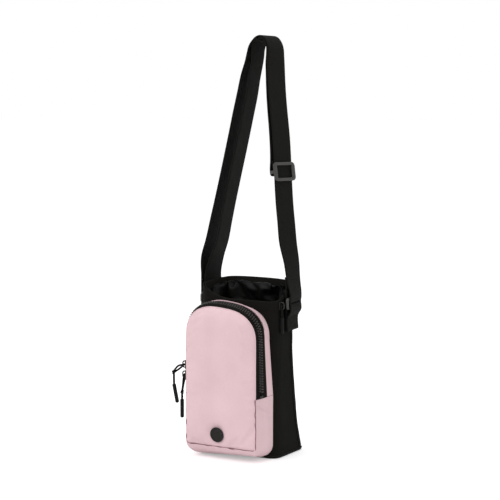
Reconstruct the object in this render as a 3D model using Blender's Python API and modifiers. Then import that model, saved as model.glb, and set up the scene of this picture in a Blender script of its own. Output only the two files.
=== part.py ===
"""A small crossbody bottle bag with a zipped phone pocket, standing empty with its strap up.

Metres, +Z up. The origin is on the floor under the middle of the base, and the pocket faces -Y.
"""

import math

import bmesh
import bpy
import numpy as np
from mathutils import Matrix, Vector

# Fit
GAP = 0.0003  # left between pieces that touch
MERGE = 0.00001  # corners of a bent grid that meet are merged within this

# Cloth, tape and webbing
CLOTH_WALL = 0.0020
LINING_WALL = 0.0008
FACING_WALL = 0.0012
TAPE_WALL = 0.0010
WEBBING_WIDTH = 0.038
WEBBING_WALL = 0.0018

# Body of the bag, a rounded box that is deep at its stiff base and slim above
TOP_HALF_WIDTH = 0.058
BASE_SPREAD = 0.002
BASE_HALF_WIDTH = TOP_HALF_WIDTH + BASE_SPREAD
FRONT_DEPTH = 0.041
BASE_BACK_DEPTH = 0.038
WAIST_BACK_DEPTH = 0.0155
BAG_CORNER = 0.014
FRONT_RIM_HEIGHT = 0.207
BACK_RIM_RISE = 0.023
BACK_RIM_HEIGHT = FRONT_RIM_HEIGHT + BACK_RIM_RISE
LEFT_RIM_SHARE = 0.80  # how far the rim's left front corner rises towards the height of the back rim
LEFT_RIM_POWER = 2.5
FLARE_POWER = 3
BASE_WALL = 0.0020
BOARD_WALL = 0.0025
FACING_HEIGHT = 0.012
BASE_BAND = 0.0060  # the walls stand straight up this far, where they are bound to the base
SEAM_AHEAD = 0.0020  # the back seams lie this far in front of the rounded back corners
SIDE_CELLS, CORNER_CELLS, FACE_CELLS, RISE_CELLS = 3, 4, 2, 7
COLLAR_FACE_CELLS, TOP_BEND_CELLS = 8, 4

# Soft collar inside the mouth: how far each row stands in, and how far below the rim it lies
COLLAR_WALL = 0.0008
COLLAR_REACH = 0.005
COLLAR_DROP = 0.040
COLLAR_REACH_SHARES = (0.0, 0.7, 1.0, 0.9, 0.5, 0.1)
COLLAR_DROP_SHARES = (0.24, 0.12, 0.20, 0.42, 0.72, 1.0)
COLLAR_FOLD = 0.0012
COLLAR_FOLDS = 9
LUMP_REACH = 0.011
LUMP_RISE = 0.006
LUMP_SPREAD = 0.020
LUMP_PLACE = (0.026, 0.012)
DRAWCORD_DIAMETER = 0.0024
DRAWCORD_SLACK = 0.0020  # how much lower the drawcord lies, because the edge that it gathers slopes

# Phone pocket
PANEL_WALL = 0.0020
PANEL_DEPTH = 0.083
PANEL_CROWN = 0.0040
PANEL_BOTTOM = 0.0180
PANEL_CORNER = 0.0040
REAR_INSET = 0.0035  # how far inside the bag's own sides the pocket is sewn on
REAR_HALF_WIDTH = TOP_HALF_WIDTH - REAR_INSET
PANEL_INSET = 0.0020
PANEL_HALF_WIDTH = REAR_HALF_WIDTH - PANEL_INSET
REAR_TAPER = 0.0045  # how much further inside the pocket is sewn where its arch springs
REAR_BOTTOM = 0.0030
REAR_CORNER = 0.0150
REAR_BELOW_RIM = 0.0030
REAR_TOP = FRONT_RIM_HEIGHT - REAR_BELOW_RIM
PANEL_BELOW_REAR = 0.0035
PANEL_TOP = REAR_TOP - PANEL_BELOW_REAR
ARCH_RISE = 0.0480
ARCH_SPRING = REAR_TOP - ARCH_RISE
ARCH_POWER = 2.5
ARCH_LEAN = 0.0040  # the soft arch stands this much higher on the left, and lower on the right
BULGE_LEFT = 0.0060  # how far the gusset swells between its seams
BULGE_RIGHT = 0.0005
GUSSET_WALL = 0.0015
ARCH_CELLS, LEG_CELLS, FLOOR_CELLS, PANEL_RINGS = 18, 3, 4, 4
BACK_SHEET_WALL = 0.0010
BACK_SHEET_SHARES = (0.0, 0.86, 0.93, 1.0)

# Zipper in the gusset
ZIP_END_HEIGHT = 0.0850
FRONT_TAPE_WIDTH = 0.0060
TEETH_WIDTH = 0.0036
REAR_TAPE_WIDTH = 0.0092
TEETH_WALL = 0.0026
TEETH_PROUD = 0.0009
TEETH_SLIT = 0.0018
STOP_HEIGHT = 0.0040
STOP_WALL = 0.0036

# Zipper sliders, on the left leg of the zipper
SLIDER_WIDTH = 0.0120
SLIDER_LENGTH = 0.0130
SLIDER_WING = 0.0018
SLIDER_POST = 0.0008
SLIDER_POST_LENGTH = 0.0040
SLIDER_PLAY = 0.0004
SLIDER_BEVEL = 0.0006
BAIL_WIRE = 0.0018
BAIL_LENGTH = 0.0100
BAIL_HEIGHT = 0.0052
LOWER_SLIDER_RISE = 0.0214  # how far above the foot of the zipper the lower slider is parked
LOWER_SLIDER_HEIGHT = ZIP_END_HEIGHT + LOWER_SLIDER_RISE
UPPER_SLIDER_HEIGHT = LOWER_SLIDER_HEIGHT + SLIDER_LENGTH + 2 * GAP

# Cord pulls, each a loop, a knot, a tail and a moulded end
CORD_DIAMETER = 0.0022
LOOP_WIDTH = 0.0064
KNOT_DIAMETER = 0.0048
PULL_END_DIAMETER = 0.0046
PULL_END_LENGTH = 0.0250
PULL_END_BEVEL = 0.0008
PULL_STAGGER = 0.0045
UPPER_KNOT_OUT, UPPER_KNOT_DROP = 0.0138, 0.0100
UPPER_TAIL_DROP = 0.0165
UPPER_END_BACK = 0.0048
LOWER_KNOT_OUT, LOWER_KNOT_DROP = 0.0055, 0.0250
LOWER_TAIL_DROP = 0.0095

# Drawcord pull and its eyelet, on the right side below the rim, between the bag and the strap ring
EYELET_FORWARD = 0.0276
EYELET_BELOW_RIM = 0.0010
EYELET_PLATE_WIDTH = 0.0060
EYELET_PLATE_HEIGHT = 0.0100
EYELET_PLATE_WALL = 0.0012
DRAW_LOOP_WIDTH = 0.0044
DRAW_KNOT_DROP = 0.0126
DRAW_TAIL_DROP = 0.0028
DRAW_END_LENGTH = 0.0210

# Badge, left bare
BADGE_DIAMETER = 0.0200
BADGE_WALL = 0.0012
BADGE_SIDE = -0.0030
BADGE_HEIGHT = 0.0345
BADGE_CELLS, BADGE_RINGS = 24, 2

# Strap tabs and rings
RING_BAR = 0.0040
RING_INNER_WIDTH = 0.0400
RING_HEIGHT = 0.0160
RING_CORNER = 0.0032
RING_BELOW_RIM = 0.0040
RING_CENTRE_HEIGHT = FRONT_RIM_HEIGHT - RING_BELOW_RIM
TAB_LENGTH = 0.0370
TAB_BOTTOM = RING_CENTRE_HEIGHT - TAB_LENGTH
TAB_TURN_DEG = 7.0  # the tabs follow the rounded back corners of the bag
TAB_FORWARD = 0.0040

# Strap loop. Height and half width of its route, from a ring to the top
STRAP_RISE = 0.3480
STRAP_TOP = RING_CENTRE_HEIGHT + STRAP_RISE
STRAP_ROUTE_SHARES = (
    (0.065, 0.98), (0.135, 0.93), (0.21, 0.85), (0.29, 0.78), (0.325, 0.748), (0.652, 0.472),
    (0.70, 0.425), (0.775, 0.350), (0.85, 0.290), (0.90, 0.255),
)
TOP_BEND_SHARES = (0.93, 0.24)  # height where the bend over the top starts, and half its width
STRAP_STRAIGHT_SHARES = (0.325, 0.652)
STRAP_LEAN_SHARES = ((0.0, 0.0), (0.21, 0.02), (0.325, 0.15), (0.652, 0.60), (0.70, 0.64), (0.85, 0.815), (1.0, 1.0))
STRAP_LEAN_BACK = 0.0300
STRAP_LEAN_SIDE = 0.0045
STRAP_TWIST_SHARES = ((0.0, -1.0), (0.135, 0.2), (0.21, 1.0), (0.90, 1.0), (1.0, 0.0))
STRAP_TWIST_DEG = 6.5
LAYER_SPREAD = 0.0155
LEFT_SPREAD_SHARES = (
    (0.045, 0.0), (0.08, 0.65), (0.135, 0.80), (0.21, 1.0), (0.36, 0.87), (0.70, 0.86), (0.80, 0.83), (0.85, 0.74), (0.93, 0.0),
)
LEFT_LEAD_SHARES = ((0.08, 1.0), (0.21, 0.58), (0.70, 0.58), (0.85, 0.65), (0.93, 0.5))
RIGHT_LAYER_STEP = 0.0045
SEWN_END_SHARE = 0.018  # how much higher than the first bend the sewn end of the webbing reaches

# Strap slider, a tri-glide on the right strand
GLIDE_SHARE = 0.481
GLIDE_HEIGHT = 0.0250
GLIDE_BAR = 0.0042
GLIDE_BAR_WALL = 0.0022
GLIDE_PLAY = 0.0006
GLIDE_BEVEL = 0.0006

# Colours, from the photo
BLACK_CLOTH = (0.012, 0.012, 0.010, 1.0)
BLACK_WEBBING = (0.014, 0.013, 0.012, 1.0)
LINING_BLACK = (0.010, 0.010, 0.010, 1.0)
PINK_CLOTH = (0.73, 0.53, 0.56, 1.0)
GREY_PLASTIC = (0.068, 0.064, 0.060, 1.0)
BLACK_MOULDED = (0.016, 0.015, 0.014, 1.0)
CORD_BLACK = (0.012, 0.012, 0.012, 1.0)
BOARD_WHITE = (0.70, 0.70, 0.68, 1.0)
ZIP_METAL = (0.030, 0.028, 0.027, 1.0)


def clear_scene():
    for thing in list(bpy.data.objects):
        bpy.data.objects.remove(thing)


def new_collection(name, hidden=False):
    made = bpy.data.collections.new(name)
    made.hide_render = hidden
    bpy.context.scene.collection.children.link(made)
    return made


def material(name, colour, roughness, metallic=0.0):
    made = bpy.data.materials.new(name)
    made.use_nodes = True
    shader = made.node_tree.nodes["Principled BSDF"]
    shader.inputs["Base Color"].default_value = colour
    shader.inputs["Roughness"].default_value = roughness
    shader.inputs["Metallic"].default_value = metallic
    made.diffuse_color = colour
    return made


clear_scene()
PARTS = new_collection("bottle_bag")
CLOTH = material("black_cloth", BLACK_CLOTH, 0.9)
WEBBING = material("webbing", BLACK_WEBBING, 0.85)
INNER = material("lining_cloth", LINING_BLACK, 0.8)
PINK = material("pink_cloth", PINK_CLOTH, 0.75)
PLASTIC = material("grey_plastic", GREY_PLASTIC, 0.45)
MOULDED = material("black_moulded", BLACK_MOULDED, 0.5)
BOARD = material("board", BOARD_WHITE, 0.6)
METAL = material("zip_metal", ZIP_METAL, 0.35, 0.9)
CORD = material("cord", CORD_BLACK, 0.9)


def add_object(name, data, finish):
    made = bpy.data.objects.new(name, data)
    made.data.materials.append(finish)
    PARTS.objects.link(made)
    return made


def add_mesh(name, bm, finish):
    """Makes an object of a bmesh, and shades its gentle edges smooth."""
    data = bpy.data.meshes.new(name)
    bm.to_mesh(data)
    bm.free()
    data.shade_smooth()
    data.set_sharp_from_angle(angle=math.radians(40))
    return add_object(name, data, finish)


def thicken(thing, wall, offset=-1.0):
    """Gives an open surface its wall. An offset of -1 grows it inwards from the surface."""
    solid = thing.modifiers.new("wall", "SOLIDIFY")
    solid.thickness = wall
    solid.offset = offset
    solid.use_even_offset = True
    return thing


def sheet(name, columns, rows, place, wall, finish, offset=-1.0):
    """A grid of cloth, bent by place(column share, row share) and thickened."""
    bm = bmesh.new()
    bmesh.ops.create_grid(bm, x_segments=columns, y_segments=rows, size=1.0)
    for vert in bm.verts:
        vert.co = place((vert.co.x + 1.0) / 2.0, (vert.co.y + 1.0) / 2.0)
    bmesh.ops.remove_doubles(bm, verts=bm.verts, dist=MERGE)
    return thicken(add_mesh(name, bm, finish), wall, offset)


def plate(name, outline, wall, finish):
    """A flat piece with this outline, which runs anticlockwise seen from outside."""
    bm = bmesh.new()
    bm.faces.new([bm.verts.new(point) for point in outline])
    return thicken(add_mesh(name, bm, finish), wall)


def tube(name, points, diameter, finish, cyclic=False):
    data = bpy.data.curves.new(name, "CURVE")
    data.dimensions = "3D"
    data.bevel_depth = diameter / 2
    data.bevel_resolution = 2
    data.use_fill_caps = True
    spline = data.splines.new("POLY")
    spline.points.add(len(points) - 1)
    for slot, point in zip(spline.points, points):
        slot.co = (*point, 1.0)
    spline.use_cyclic_u = cyclic
    return add_object(name, data, finish)


def block(name, size, frame, finish, bevel):
    """A box of this size in a frame, with its edges rounded."""
    bm = bmesh.new()
    bmesh.ops.create_cube(bm, size=1.0)
    bmesh.ops.scale(bm, vec=size, verts=bm.verts)
    bmesh.ops.bevel(bm, geom=bm.edges[:], offset=bevel, segments=1, affect="EDGES", profile=0.5)
    bmesh.ops.transform(bm, matrix=frame, verts=bm.verts)
    return add_mesh(name, bm, finish)


def as_mesh(thing):
    """Turns a curve into a mesh with its caps welded, which a Boolean needs."""
    bpy.context.view_layer.update()
    evaluated = thing.evaluated_get(bpy.context.evaluated_depsgraph_get())
    data = bpy.data.meshes.new_from_object(evaluated)
    bm = bmesh.new()
    bm.from_mesh(data)
    bmesh.ops.remove_doubles(bm, verts=bm.verts, dist=MERGE)
    bm.to_mesh(data)
    bm.free()
    made = bpy.data.objects.new(thing.name + "_mesh", data)
    made.matrix_world = thing.matrix_world
    PARTS.objects.link(made)
    bpy.data.objects.remove(thing)
    return made


def unite(name, things):
    """Joins overlapping pieces into one solid, and takes the first one's material."""
    first, *others = [as_mesh(thing) for thing in things]
    for other in others:
        union = first.modifiers.new("union", "BOOLEAN")
        union.operation = "UNION"
        union.object = other
    made = as_mesh(first)
    for other in others:
        bpy.data.objects.remove(other)
    made.name = name
    return made


def carry(things, joint_name, place):
    """Parents a moving group to an empty on its joint's axis."""
    axis = bpy.data.objects.new(joint_name, None)
    axis.location = place
    PARTS.objects.link(axis)
    bpy.context.view_layer.update()
    for thing in things:
        thing.parent = axis
        thing.matrix_parent_inverse = axis.matrix_world.inverted()


def interpolate(table, share):
    return float(np.interp(share, [row[0] for row in table], [row[1] for row in table]))


def arc(centre, radius, start_deg, end_deg, cells):
    """Points along an arc in a plane, as pairs."""
    angles = np.radians(np.linspace(start_deg, end_deg, cells + 1))
    return [(centre[0] + radius * math.cos(a), centre[1] + radius * math.sin(a)) for a in angles]


# Bag body


def bag_section(height, inset=0.0):
    """Half width, front depth, back depth and corner radius of the bag at a height."""
    share = min(max(height - BASE_BAND, 0.0) / (FRONT_RIM_HEIGHT - BASE_BAND), 1.0)
    half = BASE_HALF_WIDTH + (TOP_HALF_WIDTH - BASE_HALF_WIDTH) * share
    back = WAIST_BACK_DEPTH + (BASE_BACK_DEPTH - WAIST_BACK_DEPTH) * (1.0 - share) ** FLARE_POWER
    return half - inset, FRONT_DEPTH - inset, back - inset, BAG_CORNER - inset


def line(start, end, cells):
    return [tuple(np.array(start) + (np.array(end) - start) * k / cells) for k in range(cells + 1)]


def bag_ring(height, inset=0.0, face_cells=FACE_CELLS):
    """Points round the bag, from the left back seam round the front to the right one and on round the back."""
    half, front, back, corner = bag_section(height, inset)
    seam = back - corner - SEAM_AHEAD
    legs = [
        line((-half, seam), (-half, corner - front), SIDE_CELLS),
        arc((corner - half, corner - front), corner, 180, 270, CORNER_CELLS),
        line((corner - half, -front), (half - corner, -front), face_cells),
        arc((half - corner, corner - front), corner, 270, 360, CORNER_CELLS),
        line((half, corner - front), (half, seam), SIDE_CELLS),
        line((half, seam), (half, back - corner), 1),
        arc((half - corner, back - corner), corner, 0, 90, CORNER_CELLS),
        line((half - corner, back), (corner - half, back), face_cells),
        arc((corner - half, back - corner), corner, 90, 180, CORNER_CELLS),
        line((-half, back - corner), (-half, seam), 1),
    ]
    return [point for leg in legs for point in leg[:-1]]


FRONT_WRAP = 2 * SIDE_CELLS + 2 * CORNER_CELLS + FACE_CELLS
ALL_ROUND = len(bag_ring(0.0))
BACK_WRAP = ALL_ROUND - FRONT_WRAP


def rim_height(index, face_cells=FACE_CELLS):
    """The rim's height at a point of the ring: low in front, high at the back and the left front corner."""
    half, front, back, _ = bag_section(FRONT_RIM_HEIGHT)
    ring = bag_ring(FRONT_RIM_HEIGHT, 0.0, face_cells)
    x, y = ring[index % len(ring)]
    share = (y + front) / (front + back)
    corner = LEFT_RIM_SHARE * (max(-x, 0.0) / half) ** LEFT_RIM_POWER
    return FRONT_RIM_HEIGHT + (BACK_RIM_HEIGHT - FRONT_RIM_HEIGHT) * (1.0 - (1.0 - share**2) * (1.0 - corner))


def wall_point(index, height, inset=0.0, face_cells=FACE_CELLS):
    ring = bag_ring(height, inset, face_cells)
    x, y = ring[index % len(ring)]
    return Vector((x, y, height))


def make_body():
    low = BASE_WALL + GAP
    inside = CLOTH_WALL + GAP
    lining_floor = low + BOARD_WALL + GAP

    def wall(start, columns):
        def place(u, v):
            index = start + round(u * columns)
            row = round(v * RISE_CELLS)
            if row == 0:
                return wall_point(index, low)
            return wall_point(index, BASE_BAND + (rim_height(index) - BASE_BAND) * (row - 1) / (RISE_CELLS - 1))

        return place

    plate("base_panel", [(x, y, 0.0) for x, y in reversed(bag_ring(0.0))], BASE_WALL, CLOTH)
    board = [(x, y, low) for x, y in reversed(bag_ring(low + BOARD_WALL, inside + GAP))]
    plate("base_board", board, BOARD_WALL, BOARD)
    sheet("body_front_panel", FRONT_WRAP, RISE_CELLS, wall(0, FRONT_WRAP), CLOTH_WALL, CLOTH)
    back = sheet("body_back_panel", BACK_WRAP, RISE_CELLS, wall(FRONT_WRAP, BACK_WRAP), CLOTH_WALL, CLOTH)
    for vert in back.data.vertices:  # the two panels meet at the back seams without touching
        _, _, depth, corner = bag_section(vert.co.z)
        vert.co.y = max(vert.co.y, depth - corner - SEAM_AHEAD + GAP)

    def lining(u, v):
        index = round(u * ALL_ROUND)
        row = round(v * (RISE_CELLS + 1))
        if row == 0:
            return Vector((0.0, 0.0, lining_floor))
        top = rim_height(index) - FACING_HEIGHT - GAP
        height = lining_floor if row == 1 else BASE_BAND + (top - BASE_BAND) * (row - 1) / RISE_CELLS
        return wall_point(index, height, inside + 2 * GAP)

    def facing(u, v):
        index = round(u * ALL_ROUND)
        return wall_point(index, rim_height(index) - FACING_HEIGHT * (1.0 - v), inside)

    sheet("lining", ALL_ROUND, RISE_CELLS + 1, lining, LINING_WALL, INNER)
    sheet("mouth_facing", ALL_ROUND, 1, facing, FACING_WALL, CLOTH)


def inward(point):
    """The level direction from a point of the mouth towards the middle line of the mouth."""
    half, front, back, _ = bag_section(FRONT_RIM_HEIGHT)
    middle_reach = half - (front + back) / 2
    target = Vector((max(-middle_reach, min(middle_reach, point.x)), (back - front) / 2, point.z))
    return (target - point).normalized()


COLLAR_ROUND = len(bag_ring(0.0, 0.0, COLLAR_FACE_CELLS))


def collar_point(index, row):
    """A point of the crumpled collar, whose folds run down and whose lump stands up at the right."""
    inset = CLOTH_WALL + FACING_WALL + COLLAR_WALL + 3 * GAP
    height = rim_height(index, COLLAR_FACE_CELLS)
    base = wall_point(index, height, inset, COLLAR_FACE_CELLS)
    fold = COLLAR_FOLD * math.sin(2 * math.pi * COLLAR_FOLDS * index / COLLAR_ROUND) * COLLAR_REACH_SHARES[row]
    away = (base.xy - Vector(LUMP_PLACE)).length / LUMP_SPREAD
    lump = math.exp(-(away**2)) * COLLAR_REACH_SHARES[row]
    reach = COLLAR_REACH * COLLAR_REACH_SHARES[row] + fold + LUMP_REACH * lump
    point = base + inward(base) * reach
    point.z = base.z - COLLAR_DROP * COLLAR_DROP_SHARES[row] + LUMP_RISE * lump
    return point


def make_collar():
    rows = len(COLLAR_DROP_SHARES) - 1

    def place(u, v):
        return collar_point(round(u * COLLAR_ROUND), rows - round(v * rows))

    sheet("mouth_collar", COLLAR_ROUND, rows, place, COLLAR_WALL, INNER)
    inset = CLOTH_WALL + LINING_WALL + FACING_WALL + DRAWCORD_DIAMETER / 2 + 3 * GAP
    below = COLLAR_DROP + COLLAR_WALL + DRAWCORD_DIAMETER / 2 + DRAWCORD_SLACK + GAP
    route = [wall_point(index, rim_height(index) - below, inset) for index in range(ALL_ROUND)]
    tube("drawcord", route, DRAWCORD_DIAMETER, CORD, cyclic=True)


# Phone pocket


def leg_and_arch(half, spring, top, low, flare=0.0):
    """The upper outline, from the left leg's foot over the arch to the right leg's foot, as x and z."""
    rise = top - spring

    def leg(z):
        return half + flare * (spring - z) / (spring - ZIP_END_HEIGHT)

    points = [(-leg(z), z) for _, z in line((0.0, low), (0.0, spring), LEG_CELLS)[:-1]]
    for angle in np.linspace(math.pi, 0.0, ARCH_CELLS + 1):
        across, up = math.cos(angle), math.sin(angle)
        x = half * math.copysign(abs(across) ** (2 / ARCH_POWER), across)
        share = max(up, 0.0) ** (2 / ARCH_POWER)
        points.append((x, spring + rise * share - ARCH_LEAN * x / half * share))
    return points + [(leg(z), z) for _, z in line((0.0, spring), (0.0, low), LEG_CELLS)[1:]]


def leg_and_floor(half, bottom, corner, high):
    """The lower outline, from the right leg down, along the bottom and up the left leg."""
    right = line((half, high), (half, bottom + corner), LEG_CELLS)
    right += arc((half - corner, bottom + corner), corner, 0, -90, CORNER_CELLS)[1:]
    left = [(-x, z) for x, z in reversed(right)]
    floor = line(right[-1], left[0], FLOOR_CELLS)[1:-1]
    return right + floor + left


def panel_front(x, z):
    """The front panel's face: it crowns towards -Y between its seams."""
    middle = (PANEL_TOP + PANEL_BOTTOM) / 2
    across = 1.0 - min(abs(x) / PANEL_HALF_WIDTH, 1.0) ** 4
    along = 1.0 - min(abs(z - middle) / (PANEL_TOP - middle), 1.0) ** 4
    return -PANEL_DEPTH - PANEL_CROWN * across * along


def bag_front(x, z):
    """The bag's front face behind the pocket, which turns away at its corners."""
    half, front, _, corner = bag_section(z)
    past = max(abs(x) - (half - corner), 0.0)
    return corner - front - math.sqrt(max(corner**2 - past**2, 0.0))


def swell(x, z, share):
    """How far and which way the gusset swells between its seams, at a share of its depth."""
    size = (BULGE_LEFT + BULGE_RIGHT) / 2 - (BULGE_LEFT - BULGE_RIGHT) / 2 * x / REAR_HALF_WIDTH
    if z > ARCH_SPRING:
        way = Vector((x / REAR_HALF_WIDTH**2, 0.0, (z - ARCH_SPRING) / (REAR_TOP - ARCH_SPRING) ** 2))
    elif z < PANEL_BOTTOM + REAR_CORNER and abs(x) < REAR_HALF_WIDTH - PANEL_CORNER:
        way = Vector((0.0, 0.0, -1.0))
    else:
        way = Vector((x, 0.0, 0.0))
    return way.normalized(), size * math.sin(math.pi * share)


def gusset_point(front, rear, share, proud=0.0):
    """A point of the gusset between the panel's outline and the outline on the bag."""
    start = Vector((front[0], panel_front(*front), front[1]))
    end = Vector((rear[0], bag_front(abs(rear[0]) - GUSSET_WALL, rear[1]) - GAP, rear[1]))
    if rear[1] < PANEL_BOTTOM:  # the gusset slopes here, which brings its inner edge closer
        end.y -= GUSSET_WALL * (PANEL_BOTTOM - REAR_BOTTOM) / (PANEL_DEPTH - FRONT_DEPTH)
    way, size = swell(front[0], front[1], share)
    return start.lerp(end, share) + way * (size + proud)


GUSSET_DEPTH = PANEL_DEPTH - FRONT_DEPTH - GAP
TAPE_START = (PANEL_WALL + 2 * GAP) / GUSSET_DEPTH
TEETH_START = TAPE_START + FRONT_TAPE_WIDTH / GUSSET_DEPTH
TEETH_MIDDLE = TEETH_START + (TEETH_WIDTH + TEETH_SLIT / 2) / GUSSET_DEPTH
TEETH_END = TEETH_MIDDLE + (TEETH_WIDTH + TEETH_SLIT / 2) / GUSSET_DEPTH
TAPE_END = TEETH_END + (REAR_TAPE_WIDTH + GAP) / GUSSET_DEPTH


def upper_strip(name, start, end, rows, wall, finish, proud=0.0, foot=0.0):
    """A strip of the gusset over the arch, between two shares of its depth."""
    low = ZIP_END_HEIGHT + foot
    front = leg_and_arch(PANEL_HALF_WIDTH, ARCH_SPRING, PANEL_TOP, low)
    rear = leg_and_arch(REAR_HALF_WIDTH - REAR_TAPER, ARCH_SPRING, REAR_TOP, low, REAR_TAPER)
    columns = len(front) - 1

    def place(u, v):
        index = round(u * columns)
        return gusset_point(front[index], rear[index], start + (end - start) * v, proud)

    return sheet(name, columns, rows, place, wall, finish)


def make_pocket():
    gap = GAP / GUSSET_DEPTH
    slit = TEETH_SLIT / 2 / GUSSET_DEPTH
    foot = STOP_HEIGHT + GAP
    upper = leg_and_arch(PANEL_HALF_WIDTH, ARCH_SPRING, PANEL_TOP, ZIP_END_HEIGHT)
    lower = leg_and_floor(PANEL_HALF_WIDTH, PANEL_BOTTOM, PANEL_CORNER, ZIP_END_HEIGHT)
    outline = upper + lower[1:]
    middle = (PANEL_TOP + PANEL_BOTTOM) / 2

    def panel(u, v):
        x, z = outline[round(u * (len(outline) - 1))]
        x, z = x * v, middle + (z - middle) * v
        return Vector((x, panel_front(x, z), z))

    face = sheet("pocket_front_panel", len(outline) - 1, PANEL_RINGS, panel, PANEL_WALL, PINK)
    face.modifiers["wall"].offset = 1.0 if face.data.polygons[0].normal.y > 0 else -1.0
    upper_strip("zip_tape_front", TAPE_START, TEETH_START - 2 * gap, 1, TAPE_WALL, WEBBING)
    upper_strip("zip_tape_rear", TEETH_END + 2 * gap, TAPE_END - gap, 1, TAPE_WALL, WEBBING)
    teeth = {"rows": 1, "wall": TEETH_WALL, "finish": MOULDED, "proud": TEETH_PROUD, "foot": foot}
    upper_strip("zip_teeth_front", TEETH_START, TEETH_MIDDLE - slit, **teeth)
    upper_strip("zip_teeth_rear", TEETH_MIDDLE + slit, TEETH_END, **teeth)
    upper_strip("pocket_upper_gusset", TAPE_END, 1.0, 3, GUSSET_WALL, PINK)

    high = ZIP_END_HEIGHT - GAP
    front = leg_and_floor(PANEL_HALF_WIDTH, PANEL_BOTTOM, PANEL_CORNER, high)
    rear = leg_and_floor(REAR_HALF_WIDTH, REAR_BOTTOM, REAR_CORNER, high)
    columns = len(front) - 1

    def lower_gusset(u, v):
        index = round(u * columns)
        return gusset_point(front[index], rear[index], TAPE_START + (1.0 - TAPE_START) * v)

    sheet("pocket_lower_gusset", columns, 6, lower_gusset, GUSSET_WALL, PINK)

    inset = GUSSET_WALL + 2 * GAP
    half = REAR_HALF_WIDTH - inset
    back_low = leg_and_floor(half, REAR_BOTTOM + inset, REAR_CORNER - inset, ZIP_END_HEIGHT)
    back = leg_and_arch(half - REAR_TAPER, ARCH_SPRING, REAR_TOP - inset, ZIP_END_HEIGHT, REAR_TAPER) + back_low[1:-1]
    columns = len(back)

    def back_sheet(u, v):
        x, z = back[round(u * columns) % columns]
        share = BACK_SHEET_SHARES[round(v * rings)]
        x, z = x * share, middle + (z - middle) * share
        return Vector((x, bag_front(x, z) - GAP, z))

    rings = len(BACK_SHEET_SHARES) - 1
    rear_sheet = sheet("pocket_back_panel", columns, rings, back_sheet, BACK_SHEET_WALL, PINK)
    rear_sheet.modifiers["wall"].offset = 1.0 if rear_sheet.data.polygons[0].normal.y < 0 else -1.0


def make_badge():
    """A bare round badge that follows the face of the panel."""

    def place(u, v):
        angle = 2 * math.pi * u
        x = BADGE_SIDE + BADGE_DIAMETER / 2 * v * math.cos(angle)
        z = BADGE_HEIGHT + BADGE_DIAMETER / 2 * v * math.sin(angle)
        return Vector((x, panel_front(x, z) - GAP, z))

    badge = sheet("badge", BADGE_CELLS, BADGE_RINGS, place, BADGE_WALL, MOULDED)
    badge.modifiers["wall"].offset = 1.0 if badge.data.polygons[0].normal.y < 0 else -1.0


# Zipper sliders and pulls


def leg_point(height, share, side, proud=0.0):
    """A point of the gusset on a straight leg of the zipper; side is -1 on the left and 1 on the right."""
    rear = REAR_HALF_WIDTH - REAR_TAPER * (height - ZIP_END_HEIGHT) / (ARCH_SPRING - ZIP_END_HEIGHT)
    return gusset_point((side * PANEL_HALF_WIDTH, height), (side * rear, height), share, proud)


def leg_frame(height, side):
    """The directions out of the teeth and across them, on a straight leg of the zipper."""
    half_row = TEETH_WIDTH / GUSSET_DEPTH
    across = leg_point(height, TEETH_MIDDLE + half_row, side) - leg_point(height, TEETH_MIDDLE - half_row, side)
    across.normalize()
    return across.cross(Vector((0.0, 0.0, 1.0))) * side, across


def bail(name, foot, out, finish):
    """A low arch of wire on a plate, under which a cord loop passes. It stands along Z at a foot point."""
    half = BAIL_LENGTH / 2 - BAIL_WIRE / 2
    rise = BAIL_HEIGHT - BAIL_WIRE / 2
    sunk = -BAIL_WIRE / 2
    shape = ((-half, sunk), (-half, rise * 0.6), (-half * 0.7, rise), (half * 0.7, rise), (half, rise * 0.6), (half, sunk))
    points = [foot + Vector((0.0, 0.0, z)) + out * reach for z, reach in shape]
    return tube(name, points, BAIL_WIRE, finish)


def make_zip_slider(name, height):
    """A slider: wings outside and inside the teeth, the post between the two rows, and the bail."""
    out, across = leg_frame(height, -1)
    up = Vector((0.0, 0.0, 1.0))
    middle = leg_point(height, TEETH_MIDDLE, -1, TEETH_PROUD) - out * TEETH_PROUD
    outer = TEETH_PROUD + SLIDER_PLAY + SLIDER_WING / 2
    inner = TEETH_PROUD - TEETH_WALL - 2 * SLIDER_PLAY - SLIDER_WING / 2
    axes = Matrix((out, up.cross(out), up)).transposed().to_4x4()
    wing = (SLIDER_WING, SLIDER_WIDTH, SLIDER_LENGTH)
    post = (outer - inner, SLIDER_POST, SLIDER_POST_LENGTH)

    def at(reach):
        return Matrix.Translation(middle + out * reach) @ axes

    foot = middle + out * (outer + SLIDER_WING / 2)
    pieces = [
        block(name + "_outer", wing, at(outer), METAL, SLIDER_BEVEL),
        block(name + "_inner", wing, at(inner), METAL, SLIDER_BEVEL),
        block(name + "_post", post, at((outer + inner) / 2), METAL, SLIDER_POST / 8),
        bail(name + "_bail", foot, out, METAL),
    ]
    unite(name, pieces)
    return foot + out * (BAIL_HEIGHT - BAIL_WIRE) / 2, out, across


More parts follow.
